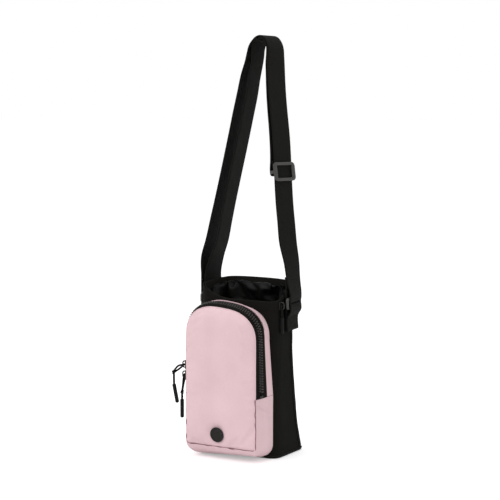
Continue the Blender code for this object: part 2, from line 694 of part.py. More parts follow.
def make_pull(name, hinge, across, knot, tail, tip, width=LOOP_WIDTH):
    """A cord pull that hangs from hinge: a loop to the knot, a tail, and the moulded end down to tip."""
    side = across * width / 2
    closed = across * (CORD_DIAMETER + GAP) / 2
    fall = knot - hinge
    left = [hinge - side * 0.6, hinge + fall * 0.18 - side, hinge + fall * 0.6 - side * 0.9, knot - closed]
    right = [hinge + side * 0.6, hinge + fall * 0.18 + side, hinge + fall * 0.6 + side * 0.9, knot + closed]
    loop = tube(name + "_loop", [*reversed(left), *right], CORD_DIAMETER, CORD)
    bm = bmesh.new()
    bmesh.ops.create_icosphere(bm, subdivisions=2, radius=KNOT_DIAMETER / 2)
    bmesh.ops.translate(bm, vec=knot, verts=bm.verts)
    ball = add_mesh(name + "_knot", bm, CORD)
    drop = (tip - tail).normalized()
    cord = tube(name + "_tail", [knot, knot.lerp(tail, 0.5), tail - drop * GAP], CORD_DIAMETER, CORD)
    unite(name + "_cord", [loop, ball, cord])
    radius = PULL_END_DIAMETER / 2
    bm = bmesh.new()
    reach = (tip - tail).length
    bmesh.ops.create_cone(bm, cap_ends=True, segments=10, radius1=radius, radius2=radius, depth=reach)
    ends = [edge for edge in bm.edges if abs(edge.verts[0].co.z - edge.verts[1].co.z) < MERGE]
    bmesh.ops.bevel(bm, geom=ends, offset=PULL_END_BEVEL, segments=1, affect="EDGES", profile=0.5)
    turn = Vector((0.0, 0.0, 1.0)).rotation_difference(drop).to_matrix().to_4x4()
    bmesh.ops.transform(bm, matrix=Matrix.Translation((tail + tip) / 2) @ turn, verts=bm.verts)
    return add_mesh(name + "_end", bm, MOULDED)


def make_zip_hardware():
    down = Vector((0.0, 0.0, -1.0))

    upper, out, across = make_zip_slider("zip_slider_upper", UPPER_SLIDER_HEIGHT)
    step = across * PULL_STAGGER
    knot = upper - step + out * UPPER_KNOT_OUT + down * UPPER_KNOT_DROP
    tail = knot + down * UPPER_TAIL_DROP
    tip = tail + down * PULL_END_LENGTH - out * UPPER_END_BACK
    make_pull("zip_pull_upper", upper, across, knot, tail, tip)

    lower, out, across = make_zip_slider("zip_slider_lower", LOWER_SLIDER_HEIGHT)
    knot = lower + step + out * LOWER_KNOT_OUT + down * LOWER_KNOT_DROP
    tail = knot + down * LOWER_TAIL_DROP
    make_pull("zip_pull_lower", lower, across, knot, tail, tail + down * PULL_END_LENGTH)

    parts = bpy.data.objects
    carry([parts["zip_slider_upper"]], "zip_upper_slide", upper)
    carry([parts["zip_pull_upper_cord"], parts["zip_pull_upper_end"]], "zip_upper_pull_swing", upper)
    carry([parts["zip_slider_lower"]], "zip_lower_slide", lower)
    carry([parts["zip_pull_lower_cord"], parts["zip_pull_lower_end"]], "zip_lower_pull_swing", lower)
    print("zip pull axis", [round(value, 5) for value in across])

    for side, name in ((-1, "left"), (1, "right")):
        height = ZIP_END_HEIGHT + STOP_HEIGHT / 2
        out, _ = leg_frame(height, side)
        up = Vector((0.0, 0.0, 1.0))
        place = leg_point(height, TEETH_MIDDLE, side) + out * (TEETH_PROUD - TEETH_WALL / 2)
        axes = Matrix((out, up.cross(out), up)).transposed().to_4x4()
        size = (STOP_WALL, 2 * TEETH_WIDTH, STOP_HEIGHT - GAP)
        block("zip_stop_" + name, size, Matrix.Translation(place) @ axes, METAL, SLIDER_BEVEL)


def hang_clear(point, radius):
    """A point of the drawcord pull, which rests against the side panel where the bag is wider than its eyelet."""
    side = bag_section(point.z)[0] + GAP + radius
    return Vector((max(point.x, side), point.y, point.z))


def make_drawcord_pull():
    out = Vector((1.0, 0.0, 0.0))
    across = Vector((0.0, 1.0, 0.0))
    down = Vector((0.0, 0.0, -1.0))
    height = FRONT_RIM_HEIGHT - EYELET_BELOW_RIM - EYELET_PLATE_HEIGHT / 2
    foot = Vector((bag_section(height)[0] + GAP, -EYELET_FORWARD, height))
    wall = EYELET_PLATE_WALL
    size = (wall, EYELET_PLATE_WIDTH, EYELET_PLATE_HEIGHT)
    back = block("drawcord_eyelet_plate", size, Matrix.Translation(foot + out * wall / 2), METAL, wall / 4)
    unite("drawcord_eyelet", [back, bail("drawcord_eyelet_bail", foot + out * wall, out, METAL)])
    hinge = foot + out * (wall + (BAIL_HEIGHT - BAIL_WIRE) / 2)
    knot = hang_clear(hinge + down * DRAW_KNOT_DROP, KNOT_DIAMETER / 2)
    tail = hang_clear(knot + down * DRAW_TAIL_DROP, PULL_END_DIAMETER / 2)
    tip = hang_clear(tail + down * DRAW_END_LENGTH, PULL_END_DIAMETER / 2)
    make_pull("drawcord_pull", hinge, across, knot, tail, tip, DRAW_LOOP_WIDTH)
    parts = bpy.data.objects
    carry([parts["drawcord_pull_cord"], parts["drawcord_pull_end"]], "drawcord_pull_swing", hinge)
    return hinge


# Strap, tabs and rings


def side_frame(side):
    """The middle of a strap ring, its outward direction, and the direction across its webbing."""
    turn = math.radians(TAB_TURN_DEG)
    out = Vector((side * math.cos(turn), math.sin(turn), 0.0))
    across = Vector((-side * math.sin(turn), math.cos(turn), 0.0))
    half, _, back, corner = bag_section(RING_CENTRE_HEIGHT)
    centre = Vector((side * (half - corner), back - corner, RING_CENTRE_HEIGHT))
    standoff = corner + 2 * GAP + WEBBING_WALL / 2 + RING_BAR / 2 + WEBBING_WALL / 2 + GAP
    return centre + out * standoff - across * TAB_FORWARD, out, across


def ribbon(name, stations, finish):
    """Webbing along stations, each a middle point and the direction across."""
    columns = len(stations) - 1

    def place(u, v):
        middle, across = stations[round(u * columns)]
        return middle + across * WEBBING_WIDTH * (v - 0.5)

    return sheet(name, columns, 1, place, WEBBING_WALL, finish, offset=0.0)


def bar_turn(turn_radius, upward, cells=4):
    """Half a turn round a bar as pairs of outward reach and height, from the inner ply to the outer."""
    start, end = (180, 0) if upward else (180, 360)
    return arc((0.0, 0.0), turn_radius, start, end, cells)


TURN_RADIUS = RING_BAR / 2 + GAP + WEBBING_WALL / 2
PLY_STEP = WEBBING_WALL + GAP
BAR_RISE = RING_HEIGHT / 2 - RING_BAR / 2


def make_ring_and_tab(side, name):
    centre, out, across = side_frame(side)
    up = Vector((0.0, 0.0, 1.0))
    half = RING_INNER_WIDTH / 2 + RING_BAR / 2
    corner = RING_CORNER
    outline = []
    for x, z, start in ((1, 1, 0), (-1, 1, 90), (-1, -1, 180), (1, -1, 270)):
        middle = (x * (half - corner), z * (BAR_RISE - corner))
        outline += arc(middle, corner, start, start + 90, 2)
    ring = [centre + across * x + up * z for x, z in outline]
    tube("ring_" + name, ring, RING_BAR, PLASTIC, cyclic=True)

    bar = centre - up * BAR_RISE
    low = TAB_BOTTOM - bar.z
    inner_foot = -TURN_RADIUS
    outer_foot = inner_foot + PLY_STEP
    pairs = [(inner_foot, low), (inner_foot, 0.0), *bar_turn(TURN_RADIUS, True)[1:], (TURN_RADIUS, -RING_BAR)]
    pairs += [(outer_foot, -3 * RING_BAR), (outer_foot, low)]
    stations = [(bar + out * reach + up * z, across) for reach, z in pairs]
    ribbon("strap_tab_" + name, stations, WEBBING)


def route_table():
    """Heights and half widths of the strap's route, with the round bend over the top."""
    start, width = TOP_BEND_SHARES
    bend = arc((0.0, 0.0), 1.0, 0, 90, TOP_BEND_CELLS)
    return [*STRAP_ROUTE_SHARES, *((start + (1.0 - start) * up, width * across) for across, up in bend)]


def strap_middle(side, share):
    """The middle of the strap's route at a share of its height, before its layers part."""
    ring, _, _ = side_frame(side)
    lean = interpolate(STRAP_LEAN_SHARES, share)
    table = ((0.0, 1.0), *route_table())
    x = ring.x * interpolate(table, share) + STRAP_LEAN_SIDE * lean
    z = ring.z + BAR_RISE + (STRAP_TOP - ring.z - BAR_RISE) * share
    return Vector((x, ring.y + STRAP_LEAN_BACK * lean, z))


def strap_across(side, share):
    """The direction across the webbing, which turns a little on its way up."""
    turn = math.radians(STRAP_TWIST_DEG * interpolate(STRAP_TWIST_SHARES, share))
    return Vector((side * math.sin(turn), math.cos(turn), 0.0))


def strap_frame(side, share):
    """Middle, direction up the strand, direction across, and outward direction at a share of the height."""
    reach = 0.001
    here, across = strap_middle(side, share), strap_across(side, share)
    low, high = max(share - reach, 0.0), min(share + reach, 1.0)
    along = (strap_middle(side, high) - strap_middle(side, low)).normalized()
    if share >= 1.0:
        along = Vector((-float(side), 0.0, 0.0))
    across = (across - along * across.dot(along)).normalized()
    out = across.cross(along) * side
    return here, along, across, out


def layer_offsets(side, share):
    """How far the long run and the returning run stand out from the route."""
    if side < 0:
        apart = max(LAYER_SPREAD * interpolate(LEFT_SPREAD_SHARES, share), PLY_STEP)
        lead = interpolate(LEFT_LEAD_SHARES, share)
        return apart * lead, apart * (lead - 1.0)
    low, high = STRAP_STRAIGHT_SHARES
    table = ((STRAP_ROUTE_SHARES[1][0], 1.0), (low, 0.0), (high, 0.0), (TOP_BEND_SHARES[0], 1.0))
    rise = interpolate(table, share)
    step = RIGHT_LAYER_STEP + (PLY_STEP - RIGHT_LAYER_STEP) * rise if share > low else PLY_STEP
    return rise * PLY_STEP / 2, rise * PLY_STEP / 2 - step


def run_stations(side, layer, low):
    """Stations of one layer up one strand, from a share of the height to the top."""
    shares = [low] + [row[0] for row in route_table() if low < row[0]]
    stations = []
    for share in shares:
        here, _, across, out = strap_frame(side, share)
        stations.append((here + out * layer_offsets(side, share)[layer], across))
    return stations


def make_strap():
    up = Vector((0.0, 0.0, 1.0))
    right_ring, right_out, right_across = side_frame(1)
    left_ring, left_out, left_across = side_frame(-1)
    right_bar = right_ring + up * BAR_RISE
    left_bar = left_ring + up * BAR_RISE
    bar = RING_BAR
    low = STRAP_ROUTE_SHARES[0][0]
    ply_end = low + SEWN_END_SHARE
    sewn_end = run_stations(1, 1, low)[:1]
    here, _, across, out = strap_frame(1, ply_end)
    sewn_end = [(here + out * layer_offsets(1, ply_end)[1], across), *sewn_end]
    sewn = [(-TURN_RADIUS, bar), *bar_turn(TURN_RADIUS, False), (TURN_RADIUS, bar)]
    right_end = sewn_end + [(right_bar + right_out * reach + up * z, right_across) for reach, z in sewn]
    turn = [(-TURN_RADIUS, bar), *bar_turn(TURN_RADIUS, False), (TURN_RADIUS, bar)]
    left_end = [(left_bar + left_out * reach + up * z, left_across) for reach, z in reversed(turn)]
    right = run_stations(1, 0, low)
    left = run_stations(-1, 0, low)[:-1]
    ribbon("strap_long_run", right_end + right + left[::-1] + left_end, WEBBING)

    here, along, across, out = strap_frame(1, GLIDE_SHARE)
    bar_reach = glide_bar_reach()
    radius = GLIDE_BAR_WALL / 2 + GAP + WEBBING_WALL / 2
    half_bar = GLIDE_BAR / 2
    end = [(-PLY_STEP, GLIDE_HEIGHT * 0.6), (-PLY_STEP, -half_bar)]
    end += [(bar_reach + r, z - half_bar) for r, z in arc((0.0, 0.0), radius, 0, -180, 4)[1:]]
    end += [(bar_reach - radius, half_bar), (-RIGHT_LAYER_STEP, GLIDE_HEIGHT * 0.6)]
    start = [(here + out * reach + along * rise, across) for reach, rise in end]
    up_right = run_stations(1, 1, STRAP_STRAIGHT_SHARES[1])
    down_left = run_stations(-1, 1, low)
    top, past = up_right[-1][0], down_left[-2][0]
    meet, clear, level = (top + past) / 2, (top - past).normalized() * GAP / 2, up_right[-1][1]
    up_right.append((meet + clear, level))
    down_left[-1] = (meet - clear, level)
    ring_side = [(left_bar - left_out * TURN_RADIUS + up * (bar + GAP), left_across)]
    ribbon("strap_return_right", start + up_right, WEBBING)
    ribbon("strap_return_left", down_left[::-1] + ring_side, WEBBING)


def glide_bar_reach():
    """How far behind the long run the middle of the slider's centre bar lies."""
    return -(WEBBING_WALL / 2 + GAP + WEBBING_WALL + GAP + GLIDE_BAR_WALL / 2)


def make_strap_slider():
    """The tri-glide: two bars in front of the long run, a centre bar behind it, and its two sides."""
    here, along, across, out = strap_frame(1, GLIDE_SHARE)
    axes = Matrix((across, along, out)).transposed().to_4x4()
    outer_half = WEBBING_WIDTH / 2 + GLIDE_PLAY + GLIDE_BAR
    front = WEBBING_WALL / 2 + GLIDE_PLAY + GLIDE_BAR_WALL / 2
    back = glide_bar_reach()
    depth = front - back + GLIDE_BAR_WALL

    def bar(name, size, x, y, z):
        return block(name, size, Matrix.Translation((x, y, z)), PLASTIC, GLIDE_BEVEL)

    long_bar = (2 * outer_half - GLIDE_BEVEL, GLIDE_BAR, GLIDE_BAR_WALL)
    edge = GLIDE_HEIGHT / 2 - GLIDE_BAR / 2
    middle = outer_half - GLIDE_BAR / 2
    side_bar = (GLIDE_BAR, GLIDE_HEIGHT - 1.4 * GLIDE_BEVEL, depth + 0.8 * GLIDE_BEVEL)
    centre = (2 * middle, GLIDE_BAR, GLIDE_BAR_WALL)
    pieces = [
        bar("glide_right", side_bar, middle, 0.0, (front + back) / 2),
        bar("glide_left", side_bar, -middle, 0.0, (front + back) / 2),
        bar("glide_top", long_bar, 0.0, edge, front),
        bar("glide_bottom", long_bar, 0.0, -edge, front),
        bar("glide_centre", centre, 0.0, 0.0, back),
    ]
    slider = unite("strap_slider", pieces)
    slider.data.transform(Matrix.Translation(here) @ axes)
    carry([slider], "strap_slider_slide", here)
    return here, along


def main():
    make_body()
    make_collar()
    make_pocket()
    make_badge()
    make_zip_hardware()
    drawcord_hinge = make_drawcord_pull()
    make_ring_and_tab(-1, "left")
    make_ring_and_tab(1, "right")
    make_strap()
    slider_place, slider_way = make_strap_slider()
    for name in ("zip_upper_slide", "zip_lower_slide"):
        print(name, [round(value, 5) for value in bpy.data.objects[name].location])
    print("drawcord hinge", [round(value, 5) for value in drawcord_hinge])
    print("strap slider", [round(value, 5) for value in slider_place], [round(value, 5) for value in slider_way])


main()
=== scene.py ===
# %% [markdown]
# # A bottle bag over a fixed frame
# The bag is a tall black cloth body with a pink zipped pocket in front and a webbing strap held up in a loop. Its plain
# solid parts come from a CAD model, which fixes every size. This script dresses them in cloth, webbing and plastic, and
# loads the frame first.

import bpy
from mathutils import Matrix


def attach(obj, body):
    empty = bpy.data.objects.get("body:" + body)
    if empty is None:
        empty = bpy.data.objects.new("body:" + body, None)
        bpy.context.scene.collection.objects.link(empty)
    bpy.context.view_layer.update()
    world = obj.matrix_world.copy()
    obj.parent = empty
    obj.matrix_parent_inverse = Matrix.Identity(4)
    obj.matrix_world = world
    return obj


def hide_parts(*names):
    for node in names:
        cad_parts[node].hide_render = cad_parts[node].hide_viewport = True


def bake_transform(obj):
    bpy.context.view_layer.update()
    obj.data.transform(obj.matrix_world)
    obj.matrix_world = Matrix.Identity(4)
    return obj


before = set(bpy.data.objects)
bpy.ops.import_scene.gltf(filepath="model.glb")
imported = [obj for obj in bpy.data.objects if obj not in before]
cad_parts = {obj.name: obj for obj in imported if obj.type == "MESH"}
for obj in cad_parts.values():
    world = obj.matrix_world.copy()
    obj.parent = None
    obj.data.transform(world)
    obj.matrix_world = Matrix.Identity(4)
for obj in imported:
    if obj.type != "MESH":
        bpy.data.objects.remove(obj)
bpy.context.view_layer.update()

# %% Tools from Blender and Python
import math

import bmesh
import bpy
import numpy as np
from mathutils import Matrix, Vector, noise

MERGE = 0.00001  # points closer than this are one point
UP = Vector((0.0, 0.0, 1.0))

# %% [markdown]
# ## Camera
# The bag is seen from its front right, a little above the middle, through a long lens, so its upright edges stay
# parallel. A camera can be turned with an angle constraint or by hand. Here it is aimed with a quaternion, which
# needs no constraint.

# %% Camera
AIM = Vector((-0.0035, 0.0, 0.2685))
SIDE_DEG, ABOVE_DEG, DISTANCE, LENS_MM, SENSOR_MM = 30.5, 5.71, 2.0, 108.0, 36.0
side, above = math.radians(SIDE_DEG), math.radians(ABOVE_DEG)
eye = Vector((math.sin(side) * math.cos(above), -math.cos(side) * math.cos(above), math.sin(above)))
lens = bpy.data.cameras.new("front_right_view")
lens.lens, lens.sensor_width = LENS_MM, SENSOR_MM
camera = bpy.data.objects.new("front_right_view", lens)
bpy.context.scene.collection.objects.link(camera)
camera.location = AIM + eye * DISTANCE
camera.rotation_euler = (-eye).to_track_quat("-Z", "Y").to_euler()
bpy.context.scene.camera = camera
print("camera at", [round(v, 3) for v in camera.location])

# %% [markdown]
# ## Floor and light
# A studio sweep is a floor whose far edge fades into the backdrop. A curved sheet would do, but a flat floor that is
# as bright as a white world needs less. The world is softer for the bag than for the camera, which Light Path tells
# apart.

# %% Floor
FLOOR_HALF, FLOOR_LIFT, FLOOR_Z = 30.0, 0.35, -0.0004
bm = bmesh.new()
bmesh.ops.create_grid(bm, x_segments=2, y_segments=2, size=FLOOR_HALF)
bmesh.ops.translate(bm, vec=(0.0, 0.0, FLOOR_Z), verts=bm.verts)
floor_mesh = bpy.data.meshes.new("studio_floor")
bm.to_mesh(floor_mesh)
bm.free()
floor = bpy.data.objects.new("studio_floor", floor_mesh)
bpy.context.scene.collection.objects.link(floor)
print("floor", 2 * FLOOR_HALF, "m wide")

# %% Soft light
KEY_WATTS, FILL_WATTS, TOP_WATTS, AMBIENT = 24.0, 5.0, 12.0, 0.70
LIT_PLACE = Vector((0.0, 0.0, 0.2))


def soft_lamp(name, place, size, watts):
    """A square area lamp that faces the middle of the bag."""
    data = bpy.data.lights.new(name, "AREA")
    data.size, data.energy = size, watts
    lamp = bpy.data.objects.new(name, data)
    lamp.location = place
    lamp.rotation_euler = (LIT_PLACE - Vector(place)).to_track_quat("-Z", "Y").to_euler()
    bpy.context.scene.collection.objects.link(lamp)


soft_lamp("key_window", (-1.3, -1.9, 2.0), 1.6, KEY_WATTS)
soft_lamp("top_panel", (0.1, 0.1, 2.3), 1.2, TOP_WATTS)
soft_lamp("right_fill", (2.2, -1.2, 1.1), 1.4, FILL_WATTS)
world = bpy.data.worlds.new("white_room")
bpy.context.scene.world = world
world.use_nodes = True
nodes, links = world.node_tree.nodes, world.node_tree.links
backdrop = nodes["Background"]
backdrop.inputs["Color"].default_value = (1.0, 1.0, 1.0, 1.0)
ray = nodes.new("ShaderNodeLightPath")
seen = nodes.new("ShaderNodeMath")
seen.operation = "MAXIMUM"
links.new(ray.outputs["Is Camera Ray"], seen.inputs[0])
links.new(ray.outputs["Is Transmission Ray"], seen.inputs[1])
level = nodes.new("ShaderNodeMapRange")
level.inputs["To Min"].default_value = AMBIENT
level.inputs["To Max"].default_value = 1.0
links.new(seen.outputs[0], level.inputs["Value"])
links.new(level.outputs["Result"], backdrop.inputs["Strength"])
bpy.context.scene.view_settings.view_transform = "Standard"
print("key", KEY_WATTS, "W, fill", FILL_WATTS, "W, ambient", AMBIENT)

# %% [markdown]
# ## Shared shader effects
# Weave, ribs, braid, moulded grain and uneven tone return on many finishes. Copying their nodes into each material
# would work, but one change would then need many edits. A node group is built once and placed with its own values
# each time.

# %% Helpers for node groups


def new_group(name, inputs, outputs):
    """A shader node group with these named sockets."""
    group = bpy.data.node_groups.new(name, "ShaderNodeTree")
    for label, kind, value in inputs:
        socket = group.interface.new_socket(name=label, in_out="INPUT", socket_type=kind)
        if value is not None:
            socket.default_value = value
    for label in outputs:
        group.interface.new_socket(name=label, in_out="OUTPUT", socket_type="NodeSocketFloat")
    return group, group.nodes.new("NodeGroupInput").outputs, group.nodes.new("NodeGroupOutput").inputs


def math_node(tree, operation, *values):
    """One step of arithmetic on sockets or numbers."""
    node = tree.nodes.new("ShaderNodeMath")
    node.operation = operation
    for slot, value in zip(node.inputs, values):
        if isinstance(value, bpy.types.NodeSocket):
            tree.links.new(value, slot)
        else:
            slot.default_value = value
    return node.outputs[0]


def noise_node(tree, vector, scale, detail):
    """Soft noise from 0 to 1 at this many waves in a metre."""
    node = tree.nodes.new("ShaderNodeTexNoise")
    node.inputs["Scale"].default_value = scale
    node.inputs["Detail"].default_value = detail
    tree.links.new(vector, node.inputs["Vector"])
    return node.outputs[0]


def axes_of(tree, vector):
    """The X, Y and Z sockets of a vector."""
    split = tree.nodes.new("ShaderNodeSeparateXYZ")
    tree.links.new(vector, split.inputs[0])
    return split.outputs


def sine_of(tree, length, turn, pitch):
    """The sine of a length, which turns by this angle in each pitch."""
    return math_node(tree, "SINE", math_node(tree, "DIVIDE", math_node(tree, "MULTIPLY", length, turn), pitch))


FLOAT, VECTOR = "NodeSocketFloat", "NodeSocketVector"
print("helpers ready")

# %% Plain weave
SLUB_SCALE, SLUB_SHARE = 900.0, 0.6
weave, ins, outs = new_group("plain_weave", [("Vector", VECTOR, None), ("Pitch", FLOAT, 0.0005)], ["Height"])
waves = [sine_of(weave, axis, math.pi, ins["Pitch"]) for axis in axes_of(weave, ins["Vector"])[:2]]
over = math_node(weave, "MULTIPLY", *waves)
slub = math_node(weave, "MULTIPLY", noise_node(weave, ins["Vector"], SLUB_SCALE, 1.0), SLUB_SHARE)
weave.links.new(math_node(weave, "ADD", math_node(weave, "MULTIPLY", over, 0.5), slub), outs["Height"])
print(weave.name, len(weave.nodes), "nodes")

# %% Ribbed webbing
ZIGZAG, COLUMN_WIDTH, COLUMN_SHARE = 0.0063, 0.0009, 0.35
ribs_ins = [("Vector", VECTOR, None), ("Pitch", FLOAT, 0.0022), ("Slope", FLOAT, 0.5)]
ribs, ins, outs = new_group("webbing_ribs", ribs_ins, ["Height"])
x, y, _ = axes_of(ribs, ins["Vector"])
slant = math_node(ribs, "MULTIPLY", math_node(ribs, "PINGPONG", x, ZIGZAG), ins["Slope"])
ridge = math_node(ribs, "ABSOLUTE", sine_of(ribs, math_node(ribs, "ADD", y, slant), 2 * math.pi, ins["Pitch"]))
column = math_node(ribs, "ABSOLUTE", sine_of(ribs, x, math.pi, COLUMN_WIDTH))
ribs.links.new(math_node(ribs, "ADD", ridge, math_node(ribs, "MULTIPLY", column, COLUMN_SHARE)), outs["Height"])
print(ribs.name, len(ribs.nodes), "nodes")

# %% Braided cord
braid, ins, outs = new_group("cord_braid", [("Vector", VECTOR, None), ("Pitch", FLOAT, 0.0022)], ["Height"])
x, y, _ = axes_of(braid, ins["Vector"])
strands = [sine_of(braid, math_node(braid, way, y, x), 2 * math.pi, ins["Pitch"]) for way in ("ADD", "SUBTRACT")]
braid.links.new(math_node(braid, "MAXIMUM", *strands), outs["Height"])
print(braid.name, len(braid.nodes), "nodes")

# %% Uneven tone, and moulded grain
tone_ins = [("Vector", VECTOR, None), ("Broad", FLOAT, 30.0), ("Fine", FLOAT, 700.0)]
tone, ins, outs = new_group("uneven_tone", tone_ins, ["Tone", "Fleck"])
for label, size, detail in (("Tone", "Broad", 3.0), ("Fleck", "Fine", 1.0)):
    node = tone.nodes.new("ShaderNodeTexNoise")
    node.inputs["Detail"].default_value = detail
    tone.links.new(ins["Vector"], node.inputs["Vector"])
    tone.links.new(ins[size], node.inputs["Scale"])
    tone.links.new(node.outputs[0], outs[label])
grain, ins, outs = new_group("moulded_grain", [("Vector", VECTOR, None), ("Scale", FLOAT, 2500.0)], ["Height", "Scuff"])
pits = grain.nodes.new("ShaderNodeTexVoronoi")
grain.links.new(ins["Vector"], pits.inputs["Vector"])
grain.links.new(ins["Scale"], pits.inputs["Scale"])
grain.links.new(pits.outputs["Distance"], outs["Height"])
rub = math_node(grain, "MULTIPLY_ADD", noise_node(grain, ins["Vector"], 140.0, 4.0), 3.2, -1.5)
grain.links.new(math_node(grain, "MINIMUM", math_node(grain, "MAXIMUM", rub, 0.0), 1.0), outs["Scuff"])
print(tone.name, "and", grain.name)

# %% [markdown]
# ## Finishes
# Each real finish gets one material: matte black cloth, pink cloth, nylon, webbing, cord, plastic and metal. Two more
# copies carry painted light and painted shade: a lighter copy of the black cloth on the hem, and a dark mauve copy of
# the pink cloth in the pocket's lower seam. A painted image could carry the colour, but nodes keep the weave at its
# real size on every piece, however it is cut.

# %% A maker for finishes
FINISHES = {}
TONE_LOW, TONE_HIGH, ROUGH_SWING = 0.32, 0.68, 0.16


def finish(
    name, dark, light, rough, pattern=None, pitch=None, relief=0.0, depth=0.0002,
    coords="UV", fleck=0.25, specular=0.4, sheen=0.0, metallic=0.0, broad=30.0,
):
    """A material whose colour wanders between two tones, with a woven, braided or moulded relief."""
    made = bpy.data.materials.new(name)
    made.use_nodes = True
    tree = made.node_tree
    shader = tree.nodes["Principled BSDF"]
    shader.inputs["Specular IOR Level"].default_value = specular
    shader.inputs["Sheen Weight"].default_value = sheen
    shader.inputs["Metallic"].default_value = metallic
    where = tree.nodes.new("ShaderNodeTexCoord").outputs
    shades = tree.nodes.new("ShaderNodeGroup")
    shades.node_tree = tone
    shades.inputs["Broad"].default_value = broad
    tree.links.new(where["Object"], shades.inputs["Vector"])
    plain = math_node(tree, "MULTIPLY", shades.outputs["Tone"], 1.0 - fleck)
    blend = math_node(tree, "ADD", plain, math_node(tree, "MULTIPLY", shades.outputs["Fleck"], fleck))
    ramp = tree.nodes.new("ShaderNodeValToRGB")
    ramp.color_ramp.elements[0].position, ramp.color_ramp.elements[1].position = TONE_LOW, TONE_HIGH
    ramp.color_ramp.elements[0].color, ramp.color_ramp.elements[1].color = (*dark, 1.0), (*light, 1.0)
    tree.links.new(blend, ramp.inputs[0])
    tree.links.new(ramp.outputs[0], shader.inputs["Base Color"])
    swing = math_node(tree, "MULTIPLY_ADD", shades.outputs["Tone"], ROUGH_SWING, rough - ROUGH_SWING / 2)
    tree.links.new(swing, shader.inputs["Roughness"])
    if pattern:
        relief_node = tree.nodes.new("ShaderNodeGroup")
        relief_node.node_tree = pattern
        tree.links.new(where[coords], relief_node.inputs["Vector"])
        if pitch:
            relief_node.inputs[1].default_value = pitch
        bump = tree.nodes.new("ShaderNodeBump")
        bump.inputs["Strength"].default_value = relief
        bump.inputs["Distance"].default_value = depth
        tree.links.new(relief_node.outputs["Height"], bump.inputs["Height"])
        tree.links.new(bump.outputs[0], shader.inputs["Normal"])
    FINISHES[name] = made
    return made


print("finish maker ready")

# %% Cloth finishes
BLACK_CLOTH = finish(
    "black_body_cloth", (0.0052, 0.0050, 0.0041), (0.0080, 0.0077, 0.0066), 0.88,
    weave, 0.0006, 0.35, 0.0002, specular=0.10,
)
# Painted light: a lighter copy of the black cloth, which paints the light that falls on the inner hem band; the base
# binding uses it too.
LIT_HEM_CLOTH = finish(
    "black_hem_cloth_painted_light", (0.0086, 0.0080, 0.0068), (0.0120, 0.0113, 0.0098), 0.86,
    weave, 0.0006, 0.35, 0.0002, specular=0.12,
)
NYLON = finish(
    "thin_black_nylon", (0.0020, 0.0020, 0.0017), (0.0044, 0.0042, 0.0038), 0.52,
    weave, 0.0004, 0.2, 0.0001, specular=0.17, broad=55.0,
)
PINK = finish(
    "pink_pocket_cloth", (0.700, 0.500, 0.532), (0.768, 0.556, 0.586), 0.74,
    weave, 0.0005, 0.22, 0.00015, fleck=0.3, specular=0.25, sheen=0.03, broad=22.0,
)
# Painted shade: a dark mauve copy of the pink cloth, standing in for the shadow in the seam between the pocket's face
# and its gusset.
PINK_SEAM_SHADE = finish(
    "pink_seam_painted_shade", (0.150, 0.075, 0.086), (0.420, 0.250, 0.280), 0.85,
    weave, 0.0005, 0.3, 0.00015, specular=0.1, broad=110.0,
)
print([name for name in FINISHES])

# %% Webbing, tape, cord and thread
WEBBING = finish(
    "black_strap_webbing", (0.0040, 0.0038, 0.0031), (0.0072, 0.0069, 0.0058), 0.80,
    ribs, 0.0022, 0.75, 0.0003, specular=0.12,
)
TAPE = finish(
    "zip_tape_weave", (0.0046, 0.0040, 0.0035), (0.0082, 0.0072, 0.0063), 0.88,
    ribs, 0.0010, 0.5, 0.0002, specular=0.10,
)
CORD = finish(
    "black_braided_cord", (0.0032, 0.0032, 0.0029), (0.0075, 0.0074, 0.0068), 0.7,
    braid, 0.0016, 0.8, 0.0002, specular=0.15,
)
BLACK_THREAD = finish(
    "black_thread", (0.0060, 0.0058, 0.0050), (0.0130, 0.0126, 0.0112), 0.6,
    braid, 0.0006, 0.5, 0.0001, coords="Object", specular=0.2,
)
PINK_THREAD = finish(
    "pink_thread", (0.600, 0.400, 0.440), (0.720, 0.520, 0.550), 0.6,
    braid, 0.0006, 0.5, 0.0001, coords="Object",
)
print(len(FINISHES), "finishes so far")

# %% Plastic, metal and board
GREY_PLASTIC = finish(
    "grey_ring_plastic", (0.0300, 0.0285, 0.0265), (0.0480, 0.0455, 0.0425), 0.44,
    grain, 2200.0, 0.25, 0.00008, coords="Object", specular=0.5, broad=90.0,
)
TEETH = finish(
    "moulded_zip_teeth", (0.0260, 0.0248, 0.0230), (0.0560, 0.0530, 0.0490), 0.42,
    grain, 2600.0, 0.2, 0.00005, coords="Object", specular=0.5, broad=160.0,
)
RUBBER = finish(
    "moulded_pull_end", (0.0030, 0.0030, 0.0027), (0.0062, 0.0060, 0.0055), 0.55,
    grain, 3000.0, 0.25, 0.00005, coords="Object", specular=0.16, broad=120.0,
)
BADGE = finish(
    "bare_black_badge", (0.0092, 0.0090, 0.0080), (0.0135, 0.0132, 0.0118), 0.55,
    grain, 3200.0, 0.3, 0.00006, coords="Object", specular=0.22, broad=140.0,
)
METAL = finish(
    "blackened_zip_metal", (0.0240, 0.0230, 0.0220), (0.0520, 0.0500, 0.0470), 0.36,
    grain, 1800.0, 0.15, 0.00004, coords="Object", metallic=0.85, specular=0.5, broad=200.0,
)
BOARD = finish(
    "base_board_fibre", (0.560, 0.550, 0.520), (0.700, 0.690, 0.660), 0.7,
    grain, 900.0, 0.3, 0.0001, coords="Object", broad=70.0,
)
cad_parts["base_board"].data.materials.clear()
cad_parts["base_board"].data.materials.append(BOARD)
FLOOR = finish("pale_floor", (0.93, 0.93, 0.93), (0.95, 0.95, 0.95), 0.95, coords="Object", specular=0.1, broad=0.6)
tree = FLOOR.node_tree
lift = math_node(tree, "MULTIPLY", tree.nodes.new("ShaderNodeLightPath").outputs["Is Camera Ray"], FLOOR_LIFT)
